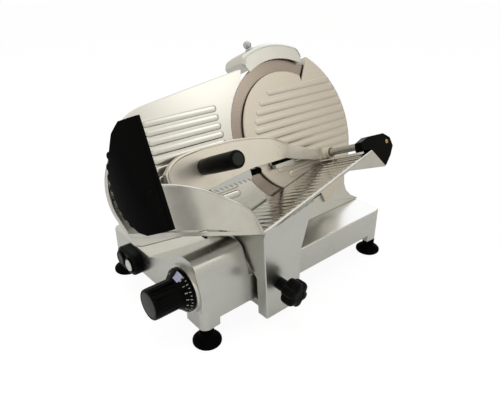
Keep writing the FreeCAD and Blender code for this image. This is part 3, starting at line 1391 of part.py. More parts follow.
def pusher_plate():
    """Cast pusher: a deep plate beside the blade that steps back to a hub on its rod."""
    plate = body("PusherPlate", blade=True)
    back = d.pusherPlateBack
    front = back + d.pusherPlateThick
    pad(plate, polygon(sketch(plate, lift=back), pusher_outline()), d.pusherPlateThick)
    thin = front - d.pusherSlant
    hub_side = rod_u - d.hubOuterRadius * 1.5
    slope = polygon(sketch(plate, "XZ_Plane", -d.pusherDepth), [
        (d.pusherRidgeU, front), (d.pusherRidgeU + d.pusherSlantRun, thin), (hub_side, thin),
        (hub_side, front + 1), (d.pusherRidgeU, front + 1)])
    pocket(plate, slope, d.pusherDepth * 3, back=True)
    hub = circle(sketch(plate, lift=d.hubBack), d.hubOuterRadius, rod_u, rod_v)
    pad(plate, hub, d.hubLength)
    boss = circle(sketch(plate, lift=front - 1), d.handleBossRadius, d.handleU, d.handleV)
    pad(plate, boss, d.handleBossHeight + 1)
    bore = circle(sketch(plate, lift=d.hubBack - 1), d.bushOuterRadius + d.runningGap, rod_u, rod_v)
    pocket(plate, bore, d.hubLength + 2, back=True)
    return node(plate, "pusher_plate")


def pusher_bush():
    """Sleeve that slides on the rod and that the pusher swings on."""
    made = rod("PusherBush", d.bushOuterRadius, d.hubLength, blade=True, lift=d.hubBack,
               across=rod_u, up=rod_v, bore=d.pusherRodRadius + d.runningGap)
    return node(made, "pusher_bush")


def pusher_teeth():
    """Toothed gripping strip behind the pusher's lower edge."""
    strip = body("PusherTeeth", blade=True)
    count = int(d.teethCount.value)
    pitch = (d.teethRightU - d.teethLeftU) / d.teethCount
    top = d.pusherTopV - d.pusherDepth * 0.7
    corners = [(d.teethRightU, top), (d.teethLeftU, top)]
    for tooth in range(count):
        left = d.teethLeftU + pitch * tooth
        corners.append((left, d.teethLowV))
        corners.append((left + pitch / 2, d.teethLowV - d.teethDrop))
    corners.append((d.teethRightU, d.teethLowV))
    pad(strip, polygon(sketch(strip, lift=d.pusherPlateBack - d.teethThick), corners), d.teethThick)
    return node(strip, "pusher_teeth")


def rubber_buffers():
    """Rubber sleeve at the strip's end and rubber wedge behind the pusher's step, one node."""
    middle = d.pusherPlateBack - d.sleeveRadius
    sleeve = rod("RubberSleeve", d.sleeveRadius, d.sleeveLength, blade=True, plane="YZ_Plane",
                 lift=d.teethRightU, across=d.buffersV, up=middle)
    wedge = body("RubberWedge", blade=True)
    left, right = d.bufferBlockU, d.bufferBlockU + d.bufferBlockLength
    top = d.buffersV + d.bufferHeight
    outline = polygon(sketch(wedge, lift=d.pusherPlateBack - d.bufferDepth), [
        (left, d.buffersV), (right, d.buffersV), (right, top), (left + d.bufferHeight * 1.5, top)])
    pad(wedge, outline, d.bufferDepth)
    return node(joined("RubberBuffers", sleeve, wedge), "rubber_buffers")


def buffer_block():
    """Pale block that the rubber wedge stands on."""
    block = body("BufferBlock", blade=True)
    outline = rectangle(sketch(block, lift=d.pusherPlateBack - d.bufferDepth), d.bufferBlockU,
                        d.buffersV - d.bufferBlockHeight, d.bufferBlockU + d.bufferBlockLength,
                        d.buffersV)
    pad(block, outline, d.bufferDepth)
    return node(block, "buffer_block")


handle_front = d.pusherPlateBack + d.pusherPlateThick + d.handleBossHeight


def pusher_handle():
    made = rod("PusherHandle", d.handleRadius, d.handleEnd - handle_front, blade=True,
               lift=handle_front, across=d.handleU, up=d.handleV)
    rim = [name for name, edge in numbered(made.Tip.Shape)
           if edge.BoundBox.ZMin > d.handleEnd.value - 0.1]
    bevel_edges(made, rim, d.handleBevel)
    return node(made, "pusher_handle")


block_back_w = d.trayOuter - d.gussetThick - d.endBlockThick
screw_spot = rod_u + d.endBlockLength - d.endScrewInset, rod_v - d.endScrewDrop


def pusher_rod():
    made = rod("PusherRod", d.pusherRodRadius, block_back_w + d.rodSeat - d.pusherRodFront,
               blade=True, lift=d.pusherRodFront, across=rod_u, up=rod_v)
    return node(made, "pusher_rod")


def rod_end_block():
    """Moulded block on the tray's outer corner that holds the pusher's rod."""
    block = body("RodEndBlock", blade=True)
    right_v = floor_v(d.trayRightU)
    long, high = d.endBlockLength, d.endBlockHeight
    seat_v = right_v + 2 * d.trayRibHeight
    edge = d.trayRightU + 0.1
    shares = ((0.17, 0.21), (0.75, 0.16), (0.96, -0.02), (1, -0.3), (0.83, -0.55), (0.58, -0.79))
    upper = [(rod_u - long * 0.14, seat_v), (rod_u - long * 0.1, rod_v + high * 0.11)]
    lower = [(edge, right_v - high * 0.36), (edge, seat_v)]
    outline = polygon(sketch(block, lift=block_back_w), upper + [
        (rod_u + long * run, rod_v + high * rise) for run, rise in shares] + lower)
    pad(block, outline, d.endBlockThick)
    seat = circle(sketch(block, lift=block_back_w - 1), d.pusherRodRadius, rod_u, rod_v)
    pocket(block, seat, d.rodSeat + 1, back=True)
    screw = circle(sketch(block, lift=block_back_w + d.endBlockThick + 1), d.endScrewRadius,
                   *screw_spot)
    pocket(block, screw, d.endScrewDepth + 1)
    return node(block, "rod_end_block")


def end_screw():
    front = block_back_w + d.endBlockThick
    made = rod("EndScrew", d.endScrewRadius, d.endScrewDepth + 1, blade=True,
               lift=front - d.endScrewDepth, across=screw_spot[0], up=screw_spot[1])
    return node(made, "end_screw")


# ---------------------------------------------------------------- the whole slicer

def build():
    base_housing()
    bottom_plate()
    for name, side_x, side_y in (("front_left_foot", -1, -1), ("front_right_foot", 1, -1),
                                 ("rear_left_foot", -1, 1), ("rear_right_foot", 1, 1)):
        foot(name, side_x, side_y)
    cable_gland()
    switch_housing()
    switch_button("start_button", -1)
    switch_button("stop_button", 1)
    gauge_dial()
    dial_spindle()
    dial_cam()
    slide_rod()
    slide_block()
    slide_bush("left_slide_bush", block_left)
    slide_bush("right_slide_bush", block_left + d.blockLength - d.bushLength)
    carriage_post()
    carriage_arm()
    star_knob()
    knob_stud()
    gauge_plate()
    gauge_bracket()
    gauge_rod()
    blade()
    blade_hub()
    blade_screws()
    bearing("front_bearing", d.bearingFront)
    bearing("rear_bearing", d.bearingFront + d.bearingSpan - d.bearingWidth)
    pulleys_and_belt()
    motor()
    motor_mount()
    blade_housing()
    drive_housing()
    slice_deflector()
    blade_cover()
    tie_rod()
    tie_knob()
    sharpener_hood()
    stone("GrindingStone", -1, "grinding_stone")
    stone("HoningStone", 1, "honing_stone")
    stone_button("GrindingButton", -1, "grinding_button")
    stone_button("HoningButton", 1, "honing_button")
    sharpener_bracket()
    sharpener_knob()
    food_tray()
    hand_guard()
    guard_rivets()
    pusher_plate()
    pusher_bush()
    pusher_teeth()
    rubber_buffers()
    buffer_block()
    pusher_handle()
    pusher_rod()
    rod_end_block()
    end_screw()


def check_document():
    doc.recompute()
    for thing in doc.Objects:
        if {"Invalid", "Error"} & set(thing.State):
            raise ValueError(f"{thing.Label} failed to build: {thing.State}")
    for thing in nodes:
        if thing.Shape.isNull() or not thing.Shape.isValid():
            raise ValueError(f"{thing.Label} has no valid shape")


def write_parts():
    os.makedirs("parts", exist_ok=True)
    for thing in nodes:
        thing.Shape.exportStep(f"parts/{thing.Label}.step")
        print(thing.Label, len(thing.Shape.Solids), round(thing.Shape.Volume / 1000, 2), "cm3")


build()
check_document()
write_parts()
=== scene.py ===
import json
import math

import bmesh
import bpy
from mathutils import Matrix, Vector


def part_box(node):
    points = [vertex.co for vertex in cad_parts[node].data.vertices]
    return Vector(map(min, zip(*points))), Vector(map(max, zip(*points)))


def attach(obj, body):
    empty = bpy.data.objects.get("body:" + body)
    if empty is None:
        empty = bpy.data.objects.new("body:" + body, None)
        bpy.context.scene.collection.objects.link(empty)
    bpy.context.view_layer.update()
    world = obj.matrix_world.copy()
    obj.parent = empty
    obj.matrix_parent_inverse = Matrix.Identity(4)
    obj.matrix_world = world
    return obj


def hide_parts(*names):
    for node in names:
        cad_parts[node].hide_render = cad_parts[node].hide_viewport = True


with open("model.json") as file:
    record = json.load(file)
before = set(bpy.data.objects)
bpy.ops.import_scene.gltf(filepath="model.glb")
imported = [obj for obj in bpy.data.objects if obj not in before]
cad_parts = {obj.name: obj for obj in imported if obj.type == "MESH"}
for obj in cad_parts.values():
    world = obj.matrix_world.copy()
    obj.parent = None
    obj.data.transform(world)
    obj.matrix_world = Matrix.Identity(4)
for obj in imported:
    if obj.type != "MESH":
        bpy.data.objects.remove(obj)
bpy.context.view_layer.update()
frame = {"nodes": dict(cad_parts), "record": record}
scene = bpy.context.scene
mm = 0.001

# the blade's own axes: u along the stroke, v up the blade, w towards the food
bladePlace = {"tilt": 25.0, "centre": (82.6, -9.4, 232.4)}
bladeFrame = (Matrix.Translation(Vector(bladePlace["centre"]))
              @ Matrix.Rotation(math.radians(90 - bladePlace["tilt"]), 4, "X"))
toBlade = bladeFrame.inverted()


# camera

# place in metres, heading and downward angle in degrees, lens in millimetres
cameraView = {"place": (-0.4916, -0.5676, 0.4997), "heading": 49.26, "down": 26.71, "lens": 34.72}


def addCamera():
    heading, down = (math.radians(cameraView[key]) for key in ("heading", "down"))
    forward = Vector((math.cos(heading) * math.cos(down), math.sin(heading) * math.cos(down),
                      -math.sin(down)))
    data = bpy.data.cameras.new("camera")
    data.lens = cameraView["lens"]
    data.sensor_width = 36.0
    camera = bpy.data.objects.new("camera", data)
    camera.location = cameraView["place"]
    camera.rotation_mode = "QUATERNION"
    camera.rotation_quaternion = forward.to_track_quat("-Z", "Y")
    scene.collection.objects.link(camera)
    scene.camera = camera
    print("camera placed")


# node and material helpers

def toLinear(hexColour):
    channels = [int(hexColour[i:i + 2], 16) / 255 for i in (1, 3, 5)]
    return [c / 12.92 if c <= 0.04045 else ((c + 0.055) / 1.055) ** 2.4 for c in channels] + [1.0]


def addNode(tree, kind, settings=None, sockets=None):
    node = tree.nodes.new(kind)
    for name, value in (settings or {}).items():
        setattr(node, name, value)
    for name, value in (sockets or {}).items():
        if isinstance(value, bpy.types.NodeSocket):
            tree.links.new(value, node.inputs[name])
        else:
            node.inputs[name].default_value = value
    return node


def startMaterial(name, colour, metallic, roughness, ior=1.5, **more):
    material = bpy.data.materials.new(name)
    material.use_nodes = True
    tree = material.node_tree
    shader = tree.nodes["Principled BSDF"]
    shader.inputs["Base Color"].default_value = toLinear(colour)
    shader.inputs["Metallic"].default_value = metallic
    shader.inputs["Roughness"].default_value = roughness
    if metallic < 0.5:
        shader.inputs["IOR"].default_value = ior
    for socket, value in more.items():
        shader.inputs[socket].default_value = value
    return material, tree, shader


def noise(tree, sizeMm, stretch=(1, 1, 1), detail=3.0):
    # a cloud whose blobs are about sizeMm across, drawn out along the axes with a small stretch
    spot = addNode(tree, "ShaderNodeTexCoord").outputs["Object"]
    spot = addNode(tree, "ShaderNodeMapping", None, {"Vector": spot, "Scale": stretch})
    return addNode(tree, "ShaderNodeTexNoise", {"noise_dimensions": "3D"}, {
        "Vector": spot.outputs["Vector"], "Scale": 1 / (sizeMm * mm), "Detail": detail,
        "Roughness": 0.6}).outputs["Fac"]


def remap(tree, value, low, high):
    # the middle part of a noise spread over a range
    return addNode(tree, "ShaderNodeMapRange", {"clamp": True}, {
        "Value": value, "From Min": 0.3, "From Max": 0.7, "To Min": low, "To Max": high
    }).outputs["Result"]


def tint(tree, shader, fac, first, second):
    mix = addNode(tree, "ShaderNodeMix", {"data_type": "RGBA"}, {
        "Factor": fac, "A": toLinear(first), "B": toLinear(second)})
    tree.links.new(mix.outputs["Result"], shader.inputs["Base Color"])


def relief(tree, shader, heights, depthMm):
    bump = addNode(tree, "ShaderNodeBump", None, {
        "Height": heights, "Strength": 1.0, "Distance": depthMm * mm})
    tree.links.new(bump.outputs["Normal"], shader.inputs["Normal"])


# materials, each named for the real one

def castAluminium():
    # die-cast, polished on the wheel and clear anodised: soft wide reflections, faintly cloudy
    material, tree, shader = startMaterial("castAluminiumPolished", "#C6C5BF", 1.0, 0.3)
    cloud = noise(tree, 45)
    tint(tree, shader, remap(tree, cloud, 0, 1), "#C3C2BB", "#C9C9C4")
    tree.links.new(remap(tree, cloud, 0.26, 0.34), shader.inputs["Roughness"])
    return material


def brushedAluminium(name="anodisedAluminiumPlate", low=0.2, high=0.24,
                     first="#C6C5BF", second="#CAC9C5"):
    # sheet and plate brushed along the stroke: long fine streaks that shift the gloss
    material, tree, shader = startMaterial(name, first, 1.0, 0.28)
    streaks = noise(tree, 1.6, (0.02, 1, 1), 4)
    tint(tree, shader, remap(tree, streaks, 0, 1), first, second)
    tree.links.new(remap(tree, streaks, low, high), shader.inputs["Roughness"])
    return material


def groundBladeSteel():
    # chromed steel ground on a wheel: fine rings round the blade's own axis
    material, tree, shader = startMaterial("groundBladeSteel", "#9C9086", 1.0, 0.26)
    spot = addNode(tree, "ShaderNodeTexCoord").outputs["Object"]
    centre = [c * mm for c in bladePlace["centre"]]
    arm = addNode(tree, "ShaderNodeVectorMath", {"operation": "SUBTRACT"}, {0: spot, 1: centre})
    radius = addNode(tree, "ShaderNodeVectorMath", {"operation": "LENGTH"},
                     {0: arm.outputs["Vector"]}).outputs["Value"]
    rings = addNode(tree, "ShaderNodeTexNoise", {"noise_dimensions": "1D"}, {
        "W": radius, "Scale": 900.0, "Detail": 2.0}).outputs["Fac"]   # rings about 1 mm apart
    tree.links.new(remap(tree, rings, 0.22, 0.3), shader.inputs["Roughness"])
    tint(tree, shader, remap(tree, rings, 0, 1), "#9B8F85", "#A89D94")
    relief(tree, shader, rings, 0.0015)
    tree.links.new(arm.outputs["Vector"], shader.inputs["Tangent"])
    shader.inputs["Anisotropic"].default_value = 0.9   # across the rings the reflections run long
    return material


def brightSteel():
    # ground and polished bar: clear reflections with a little haze
    material, tree, shader = startMaterial("polishedSteelBar", "#B9BABB", 1.0, 0.16)
    tree.links.new(remap(tree, noise(tree, 6), 0.12, 0.2), shader.inputs["Roughness"])
    return material


def satinAluminium():
    # sand-cast, lightly blasted and lacquered: a creamy, partly matt face
    material, tree, shader = startMaterial("satinCastAluminium", "#DCD5C8", 0.65, 0.3)
    cloud = noise(tree, 35)
    tint(tree, shader, remap(tree, cloud, 0, 1), "#D9D2C3", "#DFD9CD")
    tree.links.new(remap(tree, cloud, 0.26, 0.34), shader.inputs["Roughness"])
    return material


def polishedAluminium():
    # plate polished on the buff after forming: near-mirror, with faint cloudy waves
    material, tree, shader = startMaterial("buffedAluminiumTray", "#C4C3BD", 1.0, 0.16)
    cloud = noise(tree, 30)
    tint(tree, shader, remap(tree, cloud, 0, 1), "#BFBEB8", "#C8C7C3")
    tree.links.new(remap(tree, cloud, 0.14, 0.22), shader.inputs["Roughness"])
    relief(tree, shader, noise(tree, 18, detail=1), 0.02)
    return material


def coverAluminium():
    # the blade's cover is brushed like the plate, and anodised to a warmer tone
    return brushedAluminium("anodisedAluminiumCover", 0.32, 0.36, "#C6BFB3", "#CCC5BA")


def sheetSteel():
    # stainless sheet, brushed one way
    return brushedAluminium("brushedStainlessSheet", 0.26, 0.38)


def blackenedSteel():
    material, tree, shader = startMaterial("blackenedSteel", "#3A3A3B", 1.0, 0.42)
    tree.links.new(remap(tree, noise(tree, 8), 0.36, 0.5), shader.inputs["Roughness"])
    return material


def glossBlackAbs():
    # moulded and polished ABS: deep black with sharp highlights and faint ripples
    material, tree, shader = startMaterial(
        "glossBlackABS", "#050505", 0.0, 0.18, 1.54, **{"Specular IOR Level": 0.035})
    tree.links.new(remap(tree, noise(tree, 30), 0.14, 0.24), shader.inputs["Roughness"])
    relief(tree, shader, noise(tree, 14), 0.012)
    return material


def satinBlackAbs():
    # moulded in a lightly spark-eroded tool: soft highlights and a fine grain
    material, tree, shader = startMaterial(
        "satinBlackABS", "#060706", 0.0, 0.34, 1.54, **{"Specular IOR Level": 0.05})
    tree.links.new(remap(tree, noise(tree, 12), 0.28, 0.4), shader.inputs["Roughness"])
    relief(tree, shader, noise(tree, 0.7), 0.006)
    return material


def blackRubber():
    # moulded rubber: dull, slightly dusty
    material, tree, shader = startMaterial(
        "blackRubber", "#060606", 0.0, 0.5, 1.52, **{"Specular IOR Level": 0.012})
    tint(tree, shader, remap(tree, noise(tree, 15), 0, 1), "#040404", "#090908")
    relief(tree, shader, noise(tree, 1.0), 0.01)
    return material


def whiteAbs():
    # moulded ABS, kept off pure white
    material, tree, shader = startMaterial("whiteABS", "#CFCFC8", 0.0, 0.3, 1.54)
    tint(tree, shader, remap(tree, noise(tree, 9), 0, 1), "#C8C9C1", "#D4D4CE")
    return material


def paleLabel():
    # printed polyester film with a cold tint
    material, tree, shader = startMaterial("paleLabelFilm", "#A9ABC8", 0.0, 0.28, 1.5)
    tint(tree, shader, remap(tree, noise(tree, 4), 0, 1), "#9FA1C2", "#C3C4DA")
    return material


def greyAbs():
    # the same moulding grade in dark grey, with a finer satin face
    material, tree, shader = startMaterial(
        "darkGreyABS", "#20231F", 0.0, 0.34, 1.54, **{"Specular IOR Level": 0.15})
    tint(tree, shader, remap(tree, noise(tree, 7), 0, 1), "#1D201C", "#242823")
    relief(tree, shader, noise(tree, 0.6), 0.004)
    return material


def sinteredBronze():
    material, tree, shader = startMaterial("sinteredBronze", "#A07D45", 1.0, 0.45)
    relief(tree, shader, noise(tree, 0.4), 0.01)
    return material


def turnedBrass():
    material, tree, shader = startMaterial("turnedBrass", "#C9A870", 1.0, 0.25)
    tree.links.new(remap(tree, noise(tree, 2), 0.2, 0.32), shader.inputs["Roughness"])
    return material


def bondedAbrasive():
    # grit of about 0.3 mm in a hard bond
    material, tree, shader = startMaterial("bondedAbrasive", "#8B6A5E", 0.0, 0.9)
    grit = noise(tree, 0.3, detail=0)
    tint(tree, shader, remap(tree, grit, 0, 1), "#6E5148", "#A98778")
    relief(tree, shader, grit, 0.08)
    return material


def blackEnamel():
    material, tree, shader = startMaterial("blackStoveEnamel", "#101011", 0.0, 0.3, 1.5)
    relief(tree, shader, noise(tree, 2.5), 0.01)
    return material


def makeMaterials():
    made = {
        "cast_aluminium": castAluminium(), "plate_aluminium": brushedAluminium(),
        "blade_steel": groundBladeSteel(), "steel": brightSteel(), "sheet_steel": sheetSteel(),
        "black_plastic": satinBlackAbs(), "white_plastic": whiteAbs(), "black_button": greyAbs(),
        "rubber": blackRubber(), "bronze": sinteredBronze(), "brass": turnedBrass(),
        "stone": bondedAbrasive(), "motor_paint": blackEnamel(), "dark_steel": blackenedSteel(),
        "gloss_black": glossBlackAbs(), "pale_label": paleLabel(),
        "buffed_aluminium": polishedAluminium(), "satin_aluminium": satinAluminium(),
        "cover_aluminium": coverAluminium(),
    }
    print("materials made:", len(made))
    return made


# mesh helpers; lengths inside them are in millimetres

nodeBody = {node: body for body, nodes in frame["record"]["behaviour"]["bodies"].items()
            for node in nodes}
nodeSlot = {part["node"]: part["material_slot"] for part in frame["record"]["subparts"]}


# degrees between faces: under flat they are one face again, over sharp their edge is rounded
edgeAngles = {"flat": 0.5, "sharp": 40.0}
weldDistance = 0.00001   # metres, under which two points are one


def smooth(piece, angle=35):
    piece.data.shade_smooth()
    piece.data.set_sharp_from_angle(angle=math.radians(angle))


def dress(piece, node, finish=None, instead=True):
    # the piece rides with the node's body, and stands in for the node where asked
    piece.data.materials.clear()
    piece.data.materials.append(materials[finish or nodeSlot[node]])
    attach(piece, nodeBody[node])
    if instead:
        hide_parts(node)
    return piece


def addPiece(name, points, faces, angle=35):
    data = bpy.data.meshes.new(name)
    data.from_pydata([tuple(point) for point in points], [], faces)
    data.validate()
    piece = bpy.data.objects.new(name, data)
    scene.collection.objects.link(piece)
    smooth(piece, angle)
    return piece


def bladePoint(u, v, w):
    return bladeFrame @ Vector((u, v, w)) * mm


def leftPlace(x, y, z):
    # local Z points out of the machine, towards -X, and local X points up
    turn = Matrix(((0, 0, -1), (0, 1, 0), (1, 0, 0))).to_4x4()
    return Matrix.Translation(Vector((x, y, z))) @ turn


def frontPlace(x, y, z):
    # local Z points out of the machine, towards -Y
    return Matrix.Translation(Vector((x, y, z))) @ Matrix.Rotation(math.radians(90), 4, "X")


def rounded(corners, radius, steps=4):
    # an open line of corners with each inner corner turned into a short curve
    line = [Vector(corners[0])]
    for before, corner, after in zip(corners, corners[1:], corners[2:]):
        before, corner, after = Vector(before), Vector(corner), Vector(after)
        reach = min(radius, (before - corner).length / 2, (after - corner).length / 2)
        start = corner + (before - corner).normalized() * reach
        end = corner + (after - corner).normalized() * reach
        for step in range(steps + 1):
            t = step / steps
            line.append(start * (1 - t) ** 2 + corner * 2 * t * (1 - t) + end * t ** 2)
    return line + [Vector(corners[-1])]


def turned(name, place, profile, radius=0.6, steps=96, shape=None, angle=35):
    # a profile of (radius, height) turned about the place's own Z; shape swells the radius
    line = rounded(profile, radius)
    points, faces = [], []
    for out, up in line:
        for step in range(steps):
            turn = 2 * math.pi * step / steps
            wide = out * shape(turn, up) if shape else out
            points.append(place @ Vector((wide * math.cos(turn), wide * math.sin(turn), up)) * mm)
    for ring in range(len(line) - 1):
        for step in range(steps):
            after = (step + 1) % steps
            faces.append((ring * steps + step, ring * steps + after,
                          (ring + 1) * steps + after, (ring + 1) * steps + step))
    piece = addPiece(name, points, faces, angle)
    tidyMesh(piece)
    return piece


def tidyMesh(piece):
    mesh = bmesh.new()
    mesh.from_mesh(piece.data)
    bmesh.ops.remove_doubles(mesh, verts=mesh.verts, dist=weldDistance)
    bmesh.ops.recalc_face_normals(mesh, faces=mesh.faces)
    mesh.to_mesh(piece.data)
    mesh.free()


def ridges(name, node, runs, profile, at, caps=(1.0, 1.0), finish=None, turns=8):
    # low rounded bars: each run is (start, end), profile gives (offset, height) from foot to top,
    # caps says how round each end is, and turns how many steps each end takes
    points, faces = [], []
    for start, end in runs:
        start, end = Vector(start), Vector(end)
        along = (end - start).normalized()
        across = Vector((-along.y, along.x))
        first = len(points)
        for offset, height in profile:
            for centre, side, cap in ((end, 1, caps[1]), (start, -1, caps[0])):
                for step in range(turns + 1):
                    turn = math.pi * (step / turns - 0.5)
                    spot = centre + side * (along * math.cos(turn) * offset * cap
                                            + across * math.sin(turn) * offset)
                    points.append(at(spot.x, spot.y, height))
        size = 2 * (turns + 1)
        for ring in range(len(profile) - 1):
            for step in range(size):
                after = (step + 1) % size
                faces.append((first + ring * size + step, first + ring * size + after,
                              first + (ring + 1) * size + after, first + (ring + 1) * size + step))
        faces.append(tuple(first + (len(profile) - 1) * size + step for step in range(size)))
    piece = addPiece(name, points, faces, 80)
    return dress(piece, node, finish, instead=False)


def bead(name, node, path, radius, finish):
    # a round bead along an open path of points in metres
    curve = bpy.data.curves.new(name, "CURVE")
    curve.dimensions = "3D"
    curve.bevel_depth = radius * mm
    curve.bevel_resolution = 3
    curve.use_fill_caps = True
    line = curve.splines.new("POLY")
    line.points.add(len(path) - 1)
    for point, spot in zip(line.points, path):
        point.co = (*spot, 1)
    guide = bpy.data.objects.new(name + "Guide", curve)
    data = bpy.data.meshes.new_from_object(guide)
    bpy.data.objects.remove(guide)
    data.name = name
    piece = bpy.data.objects.new(name, data)
    scene.collection.objects.link(piece)
    smooth(piece, 60)
    return dress(piece, node, finish, instead=False)


def softened(node, width, finish=None, without=None, strong=None, segments=2, shift=None):
    # a copy of the node's mesh, its flat faces made whole again and its edges rounded;
    # without drops what stands above a face, shift moves points in the blade's axes,
    # strong gives edges a larger round of their own
    mesh = bmesh.new()
    mesh.from_mesh(frame["nodes"][node].data)
    bmesh.ops.remove_doubles(mesh, verts=mesh.verts, dist=weldDistance)
    if without:
        proud = [vert for vert in mesh.verts if without(toBlade @ (vert.co / mm))]
        bmesh.ops.delete(mesh, geom=proud, context="VERTS")
        bmesh.ops.holes_fill(mesh, edges=mesh.edges, sides=0)
    if shift:
        for vert in mesh.verts:
            vert.co = bladePoint(*shift(toBlade @ (vert.co / mm)))
    bmesh.ops.dissolve_limit(mesh, angle_limit=math.radians(edgeAngles["flat"]),
                             verts=mesh.verts, edges=mesh.edges)
    if strong:
        size, wanted = strong
        chosen = [edge for edge in mesh.edges
                  if len(edge.link_faces) == 2
                  and edge.calc_face_angle() > math.radians(edgeAngles["sharp"])
                  and wanted(*(toBlade @ (vert.co / mm) for vert in edge.verts))]
        bmesh.ops.bevel(mesh, geom=chosen, offset=size * mm, segments=5, profile=0.5,
                        affect="EDGES", clamp_overlap=False)
    data = bpy.data.meshes.new(node + "Form")
    mesh.to_mesh(data)
    mesh.free()
    piece = bpy.data.objects.new(node + "Piece", data)
    scene.collection.objects.link(piece)
    bevel = piece.modifiers.new("edges", "BEVEL")
    bevel.width = width * mm
    bevel.segments = segments
    bevel.limit_method = "ANGLE"
    bevel.angle_limit = math.radians(edgeAngles["sharp"])
    smooth(piece)
    flats = piece.modifiers.new("flatFaces", "WEIGHTED_NORMAL")
    flats.weight = 100
    flats.keep_sharp = True
    return dress(piece, node, finish)


# blade, its cover and the sharpener

# millimetres; dish is how deep the ring sinks inside the edge, rise how far its front comes up
bladeSizes = {"radius": 125.0, "dish": 3.3, "rim": 25.0, "thick": 2.5, "bevel": 8.0, "bore": 20.0,
              "edgeGrind": 1.6, "edgeFront": -0.55, "edge": -1.0, "bevelDish": 0.32, "rise": 1.7}


def addBlade():
    b = bladeSizes
    inner = b["radius"] - b["rim"]
    front = b["rise"] - b["dish"]
    back = -b["dish"] - b["thick"]
    profile = [(b["bore"], front), (inner, front), (b["radius"] - b["edgeGrind"], b["edgeFront"]),
               (b["radius"], b["edge"]),
               (b["radius"] - b["bevel"], -b["dish"] * b["bevelDish"] - b["thick"]),
               (inner, back), (b["bore"], back), (b["bore"], front)]
    dress(turned("bladeDisc", bladeFrame, profile, 0.3, 240, angle=20), "blade")


# half-widths and heights across a rib of the cover or the plate
ribProfile = ((5.9, -0.2), (5.6, 0.1), (5.1, 0.45), (4.6, 0.75), (4.0, 0.92), (2.6, 1.04),
              (0.2, 1.1))
coverRibs = {"front": 3.5, "pitch": 14.2, "count": 11, "circle": 77.0, "inset": 2.0, "edge": 137.5,
             "clear": 0.2, "farEnd": 0.6}


def addCover():
    c = coverRibs
    softened("blade_cover", 0.5, "cover_aluminium",
             without=lambda p: p.z > c["front"] + c["clear"])
    runs = []
    for step in range(c["count"]):
        v = (step - (c["count"] - 1) / 2) * c["pitch"]
        runs.append(((-math.sqrt(c["circle"] ** 2 - v * v) + c["inset"], v),
                     (math.sqrt(c["edge"] ** 2 - v * v), v)))
    ridges("coverRibs", "blade_cover", runs, ribProfile,
           lambda u, v, h: bladePoint(u, v, c["front"] + h), (1.0, c["farEnd"]),
           "cover_aluminium")


# the ribs, the hollow's radius and how much closer it comes, the corner and how far it reaches
gaugeRibs = {"pitch": 13.6, "count": 11, "left": -262.0, "right": -144.0, "top": 66.0, "clear": 0.2,
             "bite": 127.5, "chamfer": 2.0, "closer": 1.4, "corner": (-77.0, 118.5), "near": 3.0,
             "reach": 8.0}


def addGaugePlate():
    g = gaugeRibs

    def nearer(p):
        # the hollow comes closer to the blade, and the upper corner closer to the hood
        out = math.hypot(p.x, p.y)
        if out < g["bite"] + g["chamfer"]:
            return Vector((p.x, p.y, 0)) * ((g["bite"] - g["closer"]) / out) + Vector((0, 0, p.z))
        near = math.hypot(p.x - g["corner"][0], p.y - g["corner"][1]) < g["near"]
        return p + Vector((g["reach"] if near else 0, 0, 0))

    softened("gauge_plate", 0.6, without=lambda p: p.z > g["clear"], shift=nearer)
    heights = [g["top"] - step * g["pitch"] for step in range(g["count"])]
    runs = [((g["left"], v), (g["right"], v)) for v in heights]
    ridges("gaugeRibs", "gauge_plate", runs, ribProfile, lambda u, v, h: bladePoint(u, v, h))


# radii of the hood's middle and outer wall, its front face, and where its ends start to droop
hoodSizes = {"middle": 140.0, "wall": 148.0, "front": 6.0, "slack": 0.5, "crownRound": 8.5,
             "endStart": 22.5, "endSpan": 5.5, "endDrop": 8.0}


def addHood():
    h = hoodSizes

    def crown(a, b):
        # the front edge of the outer face
        return all(math.hypot(p.x, p.y) > h["middle"] and p.z > h["front"] - h["slack"]
                   for p in (a, b))

    def drooped(p):
        # the outer wall curves down towards both of its ends
        out = math.hypot(p.x, p.y)
        past = (abs(math.degrees(math.atan2(p.x, p.y))) - h["endStart"]) / h["endSpan"]
        if out < h["wall"] or past < 0:
            return p
        return Vector((p.x, p.y, 0)) * (1 - h["endDrop"] * past ** 2 / out) + Vector((0, 0, p.z))

    softened("sharpener_hood", 0.8, strong=(h["crownRound"], crown), segments=3, shift=drooped)


# the knob stands on the hood's rim, at an angle round the blade; outlines are (radius, height)
lockKnob = {"angle": 103.3, "root": 150.3, "back": -8.0, "steps": 48,
            "collar": [(0, 0), (7.2, 0), (7.2, 2.2), (6.2, 3.6), (4.4, 4.2), (0, 4.2)],
            "ball": [(0, 3.6), (4.6, 3.6), (5.2, 5.0), (6.6, 7.0), (6.8, 10.5), (5.4, 14.4),
                     (2.6, 15.9), (0, 16)]}


def addLockKnob():
    k = lockKnob
    turn = math.radians(k["angle"])
    outward = Vector((math.cos(turn), math.sin(turn), 0))
    foot = outward * k["root"] + Vector((0, 0, k["back"]))
    upright = outward.to_track_quat("Z", "X").to_matrix().to_4x4()
    place = bladeFrame @ Matrix.Translation(foot) @ upright
    collar = turned("lockKnobCollar", place, k["collar"], 0.5, k["steps"])
    dress(collar, "sharpener_knob", "steel", instead=False)
    dress(turned("lockKnobBall", place, k["ball"], 1.6, k["steps"]), "sharpener_knob", "steel")


# dial

